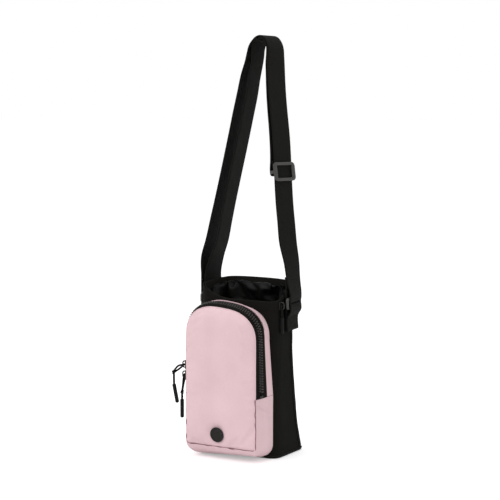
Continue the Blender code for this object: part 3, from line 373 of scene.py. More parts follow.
tree.nodes["Principled BSDF"].inputs["Emission Color"].default_value = (1.0, 1.0, 1.0, 1.0)
tree.links.new(lift, tree.nodes["Principled BSDF"].inputs["Emission Strength"])
floor_mesh.materials.append(FLOOR)
print(len(FINISHES), "finishes")

# %% [markdown]
# ## Making cloth, tubes and turned parts
# Almost every piece here is a sheet or a tube. Both are a grid whose rows are laid through known points, so one
# helper makes them all, and it measures a UV map in metres as it goes, so that the weave has its real size
# everywhere.

# %% Sheets through rows of points


def new_piece(name, bm, material, sharp_deg=50):
    """An object at the origin that shows this bmesh, with its gentle edges smooth."""
    data = bpy.data.meshes.new(name)
    bm.to_mesh(data)
    bm.free()
    data.materials.append(material)
    data.shade_smooth()
    data.set_sharp_from_angle(angle=math.radians(sharp_deg))
    piece = bpy.data.objects.new(name, data)
    bpy.context.scene.collection.objects.link(piece)
    return piece


def grid_of(rows):
    """A bmesh grid laid through rows of points, with its UV map in metres along and across it."""
    grid = np.array([[tuple(p) for p in row] for row in rows], float)
    lines, columns = grid.shape[0] - 1, grid.shape[1] - 1
    run = np.zeros(grid.shape[:2])
    rise = np.zeros(grid.shape[:2])
    run[:, 1:] = np.cumsum(np.linalg.norm(np.diff(grid, axis=1), axis=2), axis=1)
    rise[1:] = np.cumsum(np.linalg.norm(np.diff(grid, axis=0), axis=2).mean(axis=1))[:, None]
    run -= run[:, columns // 2][:, None]
    bm = bmesh.new()
    uv = bm.loops.layers.uv.new("UVMap")
    bmesh.ops.create_grid(bm, x_segments=columns, y_segments=lines, size=1.0, calc_uvs=True)
    cells = {}
    for vert in bm.verts:
        cells[vert] = (round((vert.co.y + 1.0) / 2.0 * lines), round((vert.co.x + 1.0) / 2.0 * columns))
    for face in bm.faces:
        for loop in face.loops:
            cell = cells[loop.vert]
            loop[uv].uv = (run[cell], rise[cell])
    for vert, cell in cells.items():
        vert.co = grid[cell]
    bmesh.ops.remove_doubles(bm, verts=bm.verts, dist=MERGE)
    return bm


def cloth(name, rows, wall, material, edge, offset=-1.0):
    """A sheet through rows of points, with its wall, and with the edges of that wall rounded."""
    piece = new_piece(name, grid_of(rows), material, 60)
    solid = piece.modifiers.new("wall", "SOLIDIFY")
    solid.thickness, solid.offset, solid.use_even_offset = wall, offset, False
    soft = piece.modifiers.new("soft edge", "BEVEL")
    soft.width, soft.segments, soft.profile = edge or wall * 0.3, 2, 0.5
    soft.limit_method, soft.angle_limit, soft.use_clamp_overlap = "ANGLE", math.radians(60), True
    return piece


def place_piece(piece, body, slot, *nodes):
    """Lets a piece ride on a body, hides the CAD nodes it stands for and prints them; its slot is not used."""
    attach(piece, body)
    if nodes:
        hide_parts(*nodes)
    print(piece.name, len(piece.data.polygons), "faces, on", body, "for", nodes or "no node")
    return piece


# %% Lines and tubes
DOME_RINGS = 3


def run_along(points):
    """Distance along a line, at each of its points."""
    places = np.array([tuple(p)[:3] for p in points], float)
    return np.concatenate(([0.0], np.cumsum(np.linalg.norm(np.diff(places, axis=0), axis=1))))


def smooth_path(points, step):
    """A smooth line through points of any width, with a point about every step metres."""
    points = np.array([tuple(p) for p in points], float)
    gaps = np.maximum(np.linalg.norm(np.diff(points[:, :3], axis=0), axis=1), 1e-7)
    at = np.concatenate(([0.0], np.cumsum(gaps)))
    slopes = np.gradient(points, at, axis=0)
    line = []
    for k, gap in enumerate(gaps):
        cells = max(1, round(gap / step))
        for t in np.arange(cells) / cells:
            a, b = 2 * t**3 - 3 * t**2 + 1, t**3 - 2 * t**2 + t
            c, d = 3 * t**2 - 2 * t**3, t**3 - t**2
            line.append(a * points[k] + b * gap * slopes[k] + c * points[k + 1] + d * gap * slopes[k + 1])
    return np.array([*line, points[-1]])


def tube_rows(points, radius, around, cyclic):
    """Rings of points round a line, closed at its ends by small domes."""
    points = [Vector(p[:3]) for p in points]
    count = len(points)
    ways = []
    for k in range(count):
        last = points[k - 1] if k or cyclic else points[0]
        ways.append((points[(k + 1) % count if cyclic else min(k + 1, count - 1)] - last).normalized())
    normal = ways[0].orthogonal().normalized()
    rings = []
    for k, (point, way) in enumerate(zip(points, ways)):
        normal = (normal - way * normal.dot(way)).normalized()
        rings.append((point, normal.copy(), way.cross(normal)))

    def ring(point, normal, other, size):
        angles = np.linspace(0.0, 2 * math.pi, around + 1)
        return [point + (normal * math.cos(a) + other * math.sin(a)) * size for a in angles]

    rows = [ring(point, normal, other, radius) for point, normal, other in rings]
    if cyclic:
        return [*rows, rows[0]]
    for end, way in ((0, -ways[0]), (-1, ways[-1])):
        point, normal, other = rings[end]
        dome = []
        for k in range(1, DOME_RINGS + 1):
            a = math.pi / 2 * k / DOME_RINGS
            dome.append(ring(point + way * radius * math.sin(a) * 0.6, normal, other, radius * max(math.cos(a), 0.0)))
        rows = dome[::-1] + rows if end == 0 else rows + dome
    return rows


def tube(points, radius, around, cyclic=False, step=None):
    """A bmesh tube through points, smoothed where a step is given."""
    return grid_of(tube_rows(smooth_path(points, step) if step else points, radius, around, cyclic))


print("tubes ready")

# %% Joined, turned and moulded parts


def joined(name, meshes, material, body, slot, *nodes):
    """One piece made of several bmeshes that stay as they are, put in its place."""
    whole = bmesh.new()
    whole.loops.layers.uv.new("UVMap")
    for bm in meshes:
        bmesh.ops.recalc_face_normals(bm, faces=bm.faces)
        part = bpy.data.meshes.new("part")
        bm.to_mesh(part)
        bm.free()
        whole.from_mesh(part)
        bpy.data.meshes.remove(part)
    return place_piece(new_piece(name, whole, material), body, slot, *nodes)


def turned(profile, place, steps):
    """A bmesh turned from pairs of radius and height, then put in its place by a matrix."""
    bm = bmesh.new()
    verts = [bm.verts.new((radius, 0.0, height)) for radius, height in profile]
    edges = [bm.edges.new(pair) for pair in zip(verts, verts[1:])]
    bmesh.ops.spin(bm, geom=[*verts, *edges], cent=(0, 0, 0), axis=UP, angle=2 * math.pi, steps=steps, use_merge=True)
    bmesh.ops.remove_doubles(bm, verts=bm.verts, dist=MERGE)
    bmesh.ops.transform(bm, matrix=place, verts=bm.verts)
    return bm


def rounded_block(size, place, bevel, segments, taper=1.0):
    """A bmesh block with rounded edges, narrower at its lower end where a taper is given."""
    bm = bmesh.new()
    bmesh.ops.create_cube(bm, size=1.0)
    bmesh.ops.scale(bm, vec=size, verts=bm.verts)
    for vert in bm.verts:
        if vert.co.z < 0:
            vert.co.y *= taper
    bmesh.ops.bevel(bm, geom=bm.edges[:], offset=bevel, segments=segments, profile=0.5, affect="EDGES", material=-1)
    bmesh.ops.transform(bm, matrix=place, verts=bm.verts)
    return bm


def swept_frame(place, half_width, half_height, corner, half_side, half_bar, half_wall, roundness):
    """A bmesh frame of one bar bent to a rounded rectangle, whose section is round at 1 and squarer below."""
    centres = []
    for sx, sy, start in ((1, 1, 0), (-1, 1, 90), (-1, -1, 180), (1, -1, 270)):
        for a in np.radians(np.linspace(start, start + 90, 7)):
            outward = Vector((math.cos(a), math.sin(a), 0.0))
            middle = Vector((sx * (half_width - corner), sy * (half_height - corner), 0.0))
            centres.append((middle + outward * corner, outward))
    rows = []
    for point, outward in [*centres, centres[0]]:
        row = []
        for a in np.linspace(0.0, 2 * math.pi, 17):
            level, rise = [math.copysign(abs(v) ** roundness, v) for v in (math.cos(a), math.sin(a))]
            reach = Vector((outward.x * half_side, outward.y * half_bar, 0.0)) * level
            row.append(point + reach + UP * rise * half_wall)
        rows.append(row)
    bm = grid_of(rows)
    bmesh.ops.transform(bm, matrix=place, verts=bm.verts)
    return bm


def axes_at(place, x, y, z):
    """A matrix that puts a part at a place, along three directions."""
    turn = Matrix((x, y, z)).transposed().to_4x4()
    return Matrix.Translation(place) @ turn


print("piece helpers ready")

# %% Rows of stitches


THREAD_RADIUS, THREAD_PROUD = 0.00026, 0.0001


def stitches(points, outs, length=0.0026, gap=0.0012):
    """Short thread stitches along a line, lying on the cloth that faces outs."""
    line = np.array([(*p, *o) for p, o in zip(points, outs)], float)
    at = run_along(line)
    count = max(1, int(at[-1] // (length + gap)))
    whole = bmesh.new()
    for middle in (np.arange(count) + 0.5) * at[-1] / count:
        ends = [[np.interp(middle + s * length / 2, at, line[:, c]) for c in range(6)] for s in (-1, 1)]
        start, end = Vector(ends[0][:3]), Vector(ends[1][:3])
        out = Vector(ends[0][3:]).normalized()
        way = (end - start).normalized()
        place = axes_at((start + end) / 2 + out * THREAD_PROUD, out.cross(way).normalized(), way, out)
        size = Matrix.Diagonal((THREAD_RADIUS, (end - start).length / 2, THREAD_RADIUS * 0.8, 1.0))
        made = bmesh.ops.create_icosphere(whole, subdivisions=1, radius=1.0)["verts"]
        bmesh.ops.transform(whole, matrix=place @ size, verts=made)
    return whole


print("stitches ready")

# %% [markdown]
# ## The shape of the bag body
# The body is a rounded box that is deep at its stiff base and slim above, with a rim that is low in front and high
# behind. Its section at each height is worked out from a few sizes, so that every seam, band and lining shares one
# shape.

# %% Sizes and section of the body
GAP = 0.0003
CLOTH_WALL, LINING_WALL, FACING_WALL = 0.0020, 0.0008, 0.0012
BASE_HALF, TOP_HALF = 0.060, 0.058
FRONT_DEPTH, BASE_BACK, WAIST_BACK, BAG_CORNER = 0.041, 0.038, 0.0155, 0.014
FRONT_RIM, BACK_RIM, HEM = 0.207, 0.230, 0.012
BASE_BAND, SEAM_AHEAD, BASE_WALL, BOARD_WALL = 0.006, 0.002, 0.002, 0.0025


def bag_section(height, inset=0.0):
    """Half width, front depth, back depth and corner radius of the body at a height."""
    share = min(max(height - BASE_BAND, 0.0) / (FRONT_RIM - BASE_BAND), 1.0)
    half = BASE_HALF + (TOP_HALF - BASE_HALF) * share
    back = WAIST_BACK + (BASE_BACK - WAIST_BACK) * (1.0 - share) ** 3
    return half - inset, FRONT_DEPTH - inset, back - inset, BAG_CORNER - inset


def leg(start, end, cells):
    return [tuple(np.array(start) + (np.array(end) - np.array(start)) * k / cells) for k in range(cells)]


def bend(centre, radius, start_deg, cells):
    angles = np.radians(start_deg + 90 * np.arange(cells) / cells)
    return [(centre[0] + radius * math.cos(a), centre[1] + radius * math.sin(a)) for a in angles]


SIDES, CORNERS, FACES = 22, 8, 36
FRONT_WRAP = 2 * SIDES + 2 * CORNERS + FACES
BACK_WRAP = 2 + 2 * CORNERS + FACES
ALL_ROUND = FRONT_WRAP + BACK_WRAP


def ring_shape(half, front, back, corner, ahead):
    """Points round a section, from the left back seam round the front to the right one and on round the back."""
    seam = back - corner - ahead
    flat, low, high = half - corner, corner - front, back - corner
    ring = leg((-half, seam), (-half, low), SIDES) + bend((-flat, low), corner, 180, CORNERS)
    ring += leg((-flat, -front), (flat, -front), FACES) + bend((flat, low), corner, 270, CORNERS)
    ring += leg((half, low), (half, seam), SIDES) + leg((half, seam), (half, high), 1)
    ring += bend((flat, high), corner, 0, CORNERS) + leg((flat, back), (-flat, back), FACES)
    return ring + bend((-flat, high), corner, 90, CORNERS) + leg((-half, high), (-half, seam), 1)


# Every point is a sum of shares of the five sizes, so the shares are worked out once for the whole ring.
RING = np.array([ring_shape(*unit) for unit in np.eye(5)])


def ring_point(index, height, inset=0.0):
    return np.array((*bag_section(height, inset), SEAM_AHEAD)) @ RING[:, index % ALL_ROUND]


LEFT_RISE, LEFT_POWER, BACK_BOW = 0.80, 2.5, 0.0013


def rim_height(index):
    """The rim, which is low in front and high at the back and at the left front corner, where the strap holds it up."""
    x, y = ring_point(index, FRONT_RIM)
    share = (y + FRONT_DEPTH) / (FRONT_DEPTH + WAIST_BACK)
    corner = LEFT_RISE * (max(-x, 0.0) / TOP_HALF) ** LEFT_POWER
    bow = BACK_BOW * (1.0 - 2.4 * abs(x / TOP_HALF) ** 3) * max(share, 0.0) ** 6
    return FRONT_RIM + (BACK_RIM - FRONT_RIM) * (1.0 - (1.0 - share**2) * (1.0 - corner)) + bow


def wall_point(index, height, inset=0.0):
    x, y = ring_point(index, height, inset)
    return Vector((x, y, height))


def wall_out(index, height):
    """The level direction out of the body at a point of its ring."""
    ahead, behind = ring_point(index + 1, height), ring_point(index - 1, height)
    return Vector((ahead[1] - behind[1], behind[0] - ahead[0], 0.0)).normalized()


def all_round(place):
    """A row of points, one for each place of the ring, with the first again at its end."""
    return [place(k) for k in range(ALL_ROUND + 1)]


back_middle = FRONT_WRAP + 1 + CORNERS + FACES // 2
print("ring of", ALL_ROUND, "points; rim from", FRONT_RIM, "to", round(rim_height(back_middle), 4))

# %% [markdown]
# ## Body panels
# The real body is two cloth panels, one wrapped round the front and sides, one across the back, sewn at the back
# corners. Empty cloth is never flat: it sags a little between its seams and creases where the strap pulls. Cloth
# simulation could give that, but the body hardly moves off its section, so soft waves and a few creases are worked
# into the rows instead.

# %% Soft waves and creases
CREASES = (  # start and end in distance from the middle of the front and height, then depth and width
    ((0.094, 0.191), (0.062, 0.176), 0.0014, 0.0032),
    ((0.088, 0.180), (0.070, 0.160), 0.0008, 0.0045),
    ((-0.090, 0.186), (-0.060, 0.170), 0.0010, 0.0040),
    ((0.098, 0.150), (0.084, 0.100), 0.0007, 0.0060),
    ((0.070, 0.060), (0.100, 0.030), 0.0008, 0.0060),
)


def bounded(value):
    return max(0.0, min(1.0, value))


def crease_at(place, start, end, depth, width):
    """How far a straight crease sinks the cloth at a place."""
    place, start, along = Vector(place), Vector(start), Vector(end) - Vector(start)
    share = bounded((place - start).dot(along) / along.length_squared)
    away = (place - start - along * share).length
    return depth * math.exp(-((away / width) ** 2))


def soft_wave(point, size):
    """A gentle swell, at most size, that differs from place to place."""
    return size * noise.noise(Vector(point) * 24.0) + size * 0.35 * noise.noise(Vector(point) * 70.0)


HEM_STEP, HEM_BLEND, HEM_GROOVE, GROOVE_WIDTH = 0.0005, 0.0012, 0.0003, 0.0009
WAVE_SIZE, WAVE_START, WAVE_STOP, SEAM_CELLS, ROUND_LENGTH, BODY_LINES = 0.0009, 0.03, 0.02, 4, 0.36, 84


def body_rows(start, count):
    """Rows of points up the body wall, with its turned hem, waves and creases."""
    rows = []
    for line, share in enumerate([0.0, *np.linspace(0.0, 1.0, BODY_LINES)]):
        row = []
        for k in range(count + 1):
            rim = rim_height(start + k)
            height = BASE_WALL + GAP if line == 0 else BASE_BAND + (rim - BASE_BAND) * share
            point, out = wall_point(start + k, height), wall_out(start + k, height)
            under = rim - height - HEM
            free = min(1.0, (height - BASE_BAND) / WAVE_START) * min(1.0, max(under, 0.0) / WAVE_STOP) if line else 0.0
            seam = min(1.0, min(k, count - k) / SEAM_CELLS)
            groove = HEM_GROOVE * math.exp(-(((under - 0.0004) / GROOVE_WIDTH) ** 2))
            hem = HEM_STEP * (1.0 - bounded(under / HEM_BLEND + 0.5)) - groove
            run = (k / count - 0.5) * ROUND_LENGTH
            crease = sum(crease_at((run, height), *shape) for shape in CREASES)
            row.append(point + out * (hem + seam * free * (soft_wave(point, WAVE_SIZE) - crease)))
        rows.append(row)
    return rows


print("deepest crease", max(crease[2] for crease in CREASES))

# %% Front and side wrap, and the back panel
PANEL_EDGE = 0.0006
wrap = cloth("body_wrap_cloth", body_rows(0, FRONT_WRAP), CLOTH_WALL, BLACK_CLOTH, PANEL_EDGE)
place_piece(wrap, "bag", "black_cloth", "body_front_panel")
back = cloth("body_back_cloth", body_rows(FRONT_WRAP, BACK_WRAP), CLOTH_WALL, BLACK_CLOTH, PANEL_EDGE)
place_piece(back, "bag", "black_cloth", "body_back_panel")

# %% Piped seams down the back corners and round the base
PIPE, PIPE_SUNK, PIPE_TOP, BINDING, BINDING_RISE = 0.0011, 0.0001, 0.0008, 0.0012, 0.0006


def pipe_line(index):
    """Points up the body wall at one place of its ring, sunk a little into the cloth."""
    heights = np.linspace(BASE_BAND, rim_height(index) - PIPE_TOP, 60)
    return [wall_point(index, z) - wall_out(index, z) * PIPE_SUNK for z in heights]


pipes = [tube(pipe_line(index), PIPE, 8) for index in (FRONT_WRAP, ALL_ROUND)]
joined("back_corner_seams", pipes, BLACK_CLOTH, "bag", "black_cloth")
base_line = [wall_point(k, BASE_WALL + BINDING_RISE) for k in range(ALL_ROUND)]
joined("base_binding", [tube(base_line, BINDING, 8, cyclic=True)], LIT_HEM_CLOTH, "bag", "black_cloth")

# %% Base cloth
_, front, depth, _ = bag_section(0.0)
middle = Vector((0.0, (depth - front) / 2, 0.0))
base_rows = []
for share in np.linspace(0.0, 1.0, 9):
    ring = all_round(lambda k: middle.lerp(wall_point(k, 0.0), share))
    base_rows.append([p + UP * (0.0006 * noise.noise(p * 40.0) + 0.0004) * share * (1 - share) * 4 for p in ring])
base = cloth("base_cloth", base_rows, BASE_WALL, BLACK_CLOTH, 0.0005)
if sum(face.normal.z * face.area for face in base.data.polygons) > 0:
    base.data.flip_normals()
place_piece(base, "bag", "black_cloth", "base_panel")

# %% Hem stitches
HEM_THREAD_RISE = 0.0022
hem_outs = all_round(lambda k: wall_out(k, rim_height(k) - HEM))
hem_line = all_round(lambda k: wall_point(k, rim_height(k) - HEM + HEM_THREAD_RISE) + hem_outs[k] * HEM_STEP)
place_piece(new_piece("hem_stitches", stitches(hem_line, hem_outs), BLACK_THREAD), "bag", "black_cloth")

# %% [markdown]
# ## Inside the mouth
# Under the rim a hem band holds the lining, and below it a thin nylon collar is gathered on a drawcord, so it
# crumples. Hand-made folds look regular, so the collar starts as a slack ring, and Cloth crumples it while both its
# edges are held.

# %% Hem band and lining
LINING_SLACK = 0.0022
inside = CLOTH_WALL + GAP
shares = np.linspace(0.0, 1.0, 8)
band_rows = [all_round(lambda k: wall_point(k, rim_height(k) - HEM * (1.0 - share), inside)) for share in shares]
# The hem band's lighter cloth is painted light.
band = cloth("mouth_hem_band", band_rows, FACING_WALL, LIT_HEM_CLOTH, 0.0004)
place_piece(band, "bag", "black_cloth", "mouth_facing")

inside += 2 * GAP
lining_floor = BASE_WALL + GAP + BOARD_WALL + GAP


def lining_point(index, share):
    """A point of the lining's wall, which stands slack between its floor and the hem."""
    height = lining_floor + (rim_height(index) - HEM - GAP - lining_floor) * max(share, 0.02)
    point = wall_point(index, height, inside)
    slack = min(1.0, 6 * share) * min(1.0, 6 * (1 - share))
    return point - wall_out(index, height) * slack * abs(soft_wave(point * 1.6, LINING_SLACK))


lining_rows = []
for share in (0.0, *np.linspace(0.15, 1.0, 6)):
    lining_rows.append(all_round(lambda k: Vector((*(share * wall_point(k, lining_floor, inside).xy), lining_floor))))
lining_rows += [all_round(lambda k: lining_point(k, share)) for share in np.linspace(0.0, 1.0, 60)]
place_piece(cloth("lining_cup", lining_rows, LINING_WALL, NYLON, 0.0002), "bag", "lining_cloth", "lining")

# %% [markdown]
# ## Cloth simulation on a copy ten times larger
# Blender's Cloth is tuned for things about a metre across. A bag panel a tenth of that is scaled up, simulated with
# its seams pinned and its cloth cut a little too large, and scaled down again, which lets real-looking slack and
# puckers form.

# %% A helper that simulates slack
SIM_SCALE, SIM_QUALITY, SIM_MASS, SIM_AIR = 10.0, 6, 0.15, 3.0


def simulate_slack(piece, growth, pressure, frames, stiffness, bending, gravity):
    """Lets cloth settle with its border pinned, keeps the result in the mesh, and gives its points from before."""
    mesh, scene = piece.data, bpy.context.scene
    before = [vert.co.copy() for vert in mesh.vertices]
    bm = bmesh.new()
    bm.from_mesh(mesh)
    pinned = [vert.index for vert in bm.verts if vert.is_boundary]
    bm.free()
    mesh.transform(Matrix.Scale(SIM_SCALE, 4))
    group = piece.vertex_groups.new(name="pinned")
    group.add(pinned, 1.0, "ADD")
    slack = piece.modifiers.new("slack", "CLOTH")
    settings = {"quality": SIM_QUALITY, "mass": SIM_MASS, "tension_stiffness": stiffness}
    settings |= {"compression_stiffness": stiffness, "shear_stiffness": stiffness / 2, "bending_stiffness": bending}
    settings |= {"air_damping": SIM_AIR, "shrink_min": -growth, "vertex_group_mass": "pinned"}
    settings |= {"use_pressure": pressure > 0, "uniform_pressure_force": pressure}
    for key, value in settings.items():
        setattr(slack.settings, key, value)
    slack.settings.effector_weights.gravity = gravity
    slack.point_cache.frame_start, slack.point_cache.frame_end = 1, frames
    for number in range(1, frames + 1):
        scene.frame_set(number)
    evaluated = piece.evaluated_get(bpy.context.evaluated_depsgraph_get())
    places = np.zeros(len(mesh.vertices) * 3)
    evaluated.data.vertices.foreach_get("co", places)
    piece.modifiers.remove(slack)
    piece.vertex_groups.remove(group)
    scene.frame_set(1)
    mesh.vertices.foreach_set("co", places)
    mesh.transform(Matrix.Scale(1.0 / SIM_SCALE, 4))
    mesh.update()
    return before


print("simulation runs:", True)

# %% Gathered collar
COLLAR_WALL, COLLAR_REACH, COLLAR_DROP, COLLAR_LINES = 0.0008, 0.005, 0.040, 26
REACHES = ((0.0, 0.0), (0.2, 0.7), (0.4, 1.0), (0.6, 0.9), (0.8, 0.5), (1.0, 0.1))
DROPS = ((0.0, 0.24), (0.2, 0.12), (0.4, 0.20), (0.6, 0.42), (0.8, 0.72), (1.0, 1.0))
LUMP_PLACE, LUMP_SPREAD, LUMP_REACH, LUMP_RISE = (0.026, 0.012), 0.020, 0.012, 0.007


def read(table, share):
    return float(np.interp(share, [row[0] for row in table], [row[1] for row in table]))


def inward(point):
    """The level direction towards the middle line of the mouth."""
    half, front, back, _ = bag_section(FRONT_RIM)
    reach = half - (front + back) / 2
    target = Vector((max(-reach, min(reach, point.x)), (back - front) / 2, point.z))
    return (target - point).normalized()


def collar_point(index, share):
    """A point of the collar, whose folds run down and whose lump stands up at the right."""
    base = wall_point(index, rim_height(index), CLOTH_WALL + FACING_WALL + COLLAR_WALL + 3 * GAP)
    reach_share = read(REACHES, share)
    fold = 0.0016 * noise.noise(Vector((base.x * 60.0, base.y * 60.0, share * 1.5))) * reach_share * 1.6
    lump = math.exp(-(((base.xy - Vector(LUMP_PLACE)).length / LUMP_SPREAD) ** 2)) * reach_share
    point = base + inward(base) * (COLLAR_REACH * reach_share + fold + LUMP_REACH * lump)
    point.z = base.z - COLLAR_DROP * read(DROPS, share) + LUMP_RISE * lump
    return point


collar_rows = [all_round(lambda k: collar_point(k, share)) for share in np.linspace(1.0, 0.0, COLLAR_LINES)]
collar = new_piece("mouth_collar_cloth", grid_of(collar_rows), NYLON, 60)
print("collar cells", len(collar.data.polygons))

# %% Crumple the collar, then keep it inside the mouth
COLLAR_LIMIT, BELOW_RIM = 0.007, 0.003
before = simulate_slack(collar, 0.12, 0.0, 26, stiffness=3.0, bending=0.9, gravity=0.3)
INNER_LIMIT = CLOTH_WALL + FACING_WALL + COLLAR_WALL + 2 * GAP
for vert, old in zip(collar.data.vertices, before):
    move = vert.co - old
    if move.length > COLLAR_LIMIT:
        vert.co = old + move.normalized() * COLLAR_LIMIT
    vert.co.z = min(vert.co.z, BACK_RIM - BELOW_RIM)
    half, front, back, corner = bag_section(vert.co.z, INNER_LIMIT)
    core_x = max(corner - half, min(half - corner, vert.co.x))
    core_y = max(corner - front, min(back - corner, vert.co.y))
    away = vert.co.xy - Vector((core_x, core_y))
    if away.length > corner:
        vert.co.xy = Vector((core_x, core_y)) + away.normalized() * corner
solid = collar.modifiers.new("wall", "SOLIDIFY")
solid.thickness, solid.offset = COLLAR_WALL / 2, -1.0
place_piece(collar, "bag", "lining_cloth", "mouth_collar")
sewn_edge = all_round(lambda k: collar_point(k, 0.0))

# %% Drawcord
CORD_RADIUS, CORD_SLACK = 0.0012, 0.0020
cord_inset = CLOTH_WALL + LINING_WALL + FACING_WALL + CORD_RADIUS + 3 * GAP
cord_drop = COLLAR_DROP + COLLAR_WALL + CORD_RADIUS + CORD_SLACK + GAP
cord_route = [wall_point(k, rim_height(k) - cord_drop, cord_inset) for k in range(0, ALL_ROUND, 2)]
drawcord = joined("drawcord_braid", [tube(cord_route, CORD_RADIUS, 10, cyclic=True)], CORD, "bag", "cord", "drawcord")

# %% [markdown]
# ## Pocket
# The pocket is a pink face on a gusset that runs right round it, with the zipper let into its upper part. The face is
# lightly padded: it crowns between its seams, and it puckers where they pull. So it is simulated with its edge
# pinned.

# %% Pocket outline and gusset
PANEL_WALL, PANEL_DEPTH, PANEL_CROWN = 0.0020, 0.083, 0.0040
PANEL_HALF, PANEL_BOTTOM, PANEL_TOP, PANEL_CORNER = 0.0525, 0.0180, 0.2005, 0.0040
REAR_HALF, REAR_TAPER, REAR_BOTTOM, REAR_TOP, REAR_CORNER = 0.0545, 0.0045, 0.0030, 0.2040, 0.0150
ARCH_SPRING, LEFT_ARCH, RIGHT_ARCH, ARCH_LEAN, ARCH_SAG = 0.1560, 2.5, 2.8, 0.0040, 0.0030
BULGE_LEFT, BULGE_RIGHT, GUSSET_WALL, FOOT_HANG, HANG_RISE, HANG_SHARE = 0.0060, 0.0005, 0.0015, 0.0055, 0.010, 0.12
ARCH_CELLS, LEG_CELLS, FLOOR_CELLS = 96, 40, 40
ZIP_END = 0.0850
TAPE_FRONT, TEETH_WIDTH, TAPE_REAR, SLIT, TEETH_PROUD, TEETH_WALL = 0.0060, 0.0036, 0.0092, 0.0018, 0.0009, 0.0026
GUSSET_DEPTH = PANEL_DEPTH - FRONT_DEPTH - GAP
TAPE_START = (PANEL_WALL + 2 * GAP) / GUSSET_DEPTH
TEETH_START = TAPE_START + TAPE_FRONT / GUSSET_DEPTH
TEETH_MIDDLE = TEETH_START + (TEETH_WIDTH + SLIT / 2) / GUSSET_DEPTH
TEETH_END = TEETH_MIDDLE + (TEETH_WIDTH + SLIT / 2) / GUSSET_DEPTH
TAPE_END = TEETH_END + (TAPE_REAR + GAP) / GUSSET_DEPTH


def leg_and_arch(half, top, low, flare=0.0):
    """The upper outline, from the left leg's foot over the arch to the right leg's foot, as x and z."""
    heights = np.linspace(low, ARCH_SPRING, LEG_CELLS + 1)
    legs = [(half + flare * (ARCH_SPRING - z) / (ARCH_SPRING - ZIP_END), z) for z in heights]
    points = [(-x, z) for x, z in legs[:-1]]
    for angle in np.linspace(math.pi, 0.0, ARCH_CELLS + 1):
        cosine, sine = math.cos(angle), max(math.sin(angle), 0.0)
        power = 2 / (LEFT_ARCH if cosine < 0 else RIGHT_ARCH)
        x = half * math.copysign(abs(cosine) ** power, cosine)
        share = sine**power
        points.append((x, ARCH_SPRING + (top - ARCH_SPRING) * share - ARCH_LEAN * x / half * share))
    return points + legs[-2::-1]


def arch_lines(low):
    """The upper outline on the face, and the one on the bag."""
    return leg_and_arch(PANEL_HALF, PANEL_TOP, low), leg_and_arch(REAR_HALF - REAR_TAPER, REAR_TOP, low, REAR_TAPER)


def leg_and_floor(half, bottom, corner, high):
    """The lower outline, from the right leg down, along the bottom and up the left leg."""
    right = [(half, z) for z in np.linspace(high, bottom + corner, LEG_CELLS + 1)]
    turn = np.linspace(0.0, math.pi / 2, 11)[1:]
    right += [(half - corner + corner * math.cos(a), bottom + corner - corner * math.sin(a)) for a in turn]
    floor = [(x, bottom) for x in np.linspace(half - corner, corner - half, FLOOR_CELLS + 1)[1:-1]]
    return right + floor + [(-x, z) for x, z in reversed(right)]


def panel_front(x, z):
    """The face of the pocket, which crowns forwards between its seams."""
    middle = (PANEL_TOP + PANEL_BOTTOM) / 2
    across = 1.0 - min(abs(x) / PANEL_HALF, 1.0) ** 4
    along = 1.0 - min(abs(z - middle) / (PANEL_TOP - middle), 1.0) ** 4
    return -PANEL_DEPTH - PANEL_CROWN * across * along


def bag_front(x, z):
    """The bag's front face behind the pocket, which turns away at its corners."""
    half, front, _, corner = bag_section(z)
    past = max(abs(x) - (half - corner), 0.0)
    return corner - front - math.sqrt(max(corner**2 - past**2, 0.0))


def swell(x, z, share):
    """How far and which way the gusset swells between its seams."""
    size = (BULGE_LEFT + BULGE_RIGHT) / 2 - (BULGE_LEFT - BULGE_RIGHT) / 2 * x / REAR_HALF
    if z > ARCH_SPRING:
        way = Vector((x / REAR_HALF**2, 0.0, (z - ARCH_SPRING) / (REAR_TOP - ARCH_SPRING) ** 2))
    elif z < PANEL_BOTTOM + REAR_CORNER and abs(x) < REAR_HALF - PANEL_CORNER:
        way = Vector((0.0, 0.0, -1.0))
    else:
        way = Vector((x, 0.0, 0.0))
    return way.normalized(), size * math.sin(math.pi * share)


def gusset_point(front, rear, share, proud=0.0):
    """A point of the gusset between the face's outline and the outline on the bag."""
    start = Vector((front[0], panel_front(*front), front[1]))
    end = Vector((rear[0], bag_front(abs(rear[0]) - GUSSET_WALL, rear[1]) - GAP, rear[1]))
    if rear[1] < PANEL_BOTTOM:
        end.y -= GUSSET_WALL * (PANEL_BOTTOM - REAR_BOTTOM) / (PANEL_DEPTH - FRONT_DEPTH)
    way, size = swell(front[0], front[1], share)
    point = start.lerp(end, share) + way * (size + proud)
    point.z -= sag(rear[1], share) + hang(front[1], share)
    return point


def sag(z, share):
    """How far the arch sinks towards the bag, where nothing holds it up."""
    return ARCH_SAG * share**2 * bounded((z - ARCH_SPRING) / (REAR_TOP - ARCH_SPRING))


def hang(z, share):
    """How far the floor of the pocket drops just behind the face's seam, before it runs back to the bag."""
    low = bounded((PANEL_BOTTOM + HANG_RISE - z) / HANG_RISE)
    return FOOT_HANG * low * math.sin(math.pi / 2 * min(share / HANG_SHARE, 1.0)) ** 1.3 * (1.0 - share) ** 0.8


print("gusset", round(GUSSET_DEPTH * 1000, 1), "mm deep; zipper from", round(TAPE_START, 3), "to", round(TAPE_END, 3))

# %% The padded face: a grid cut to its outline
CELL, FOLD_RELIEF, FINE_RELIEF, RELIEF_FADE = 0.0021, 0.0034, 0.0006, 0.010
face_height = PANEL_TOP + ARCH_LEAN - PANEL_BOTTOM
arch_outline, _ = arch_lines(ZIP_END)
foot_outline = leg_and_floor(PANEL_HALF, PANEL_BOTTOM, PANEL_CORNER, ZIP_END)
border = np.array(arch_outline + foot_outline[1:-1])


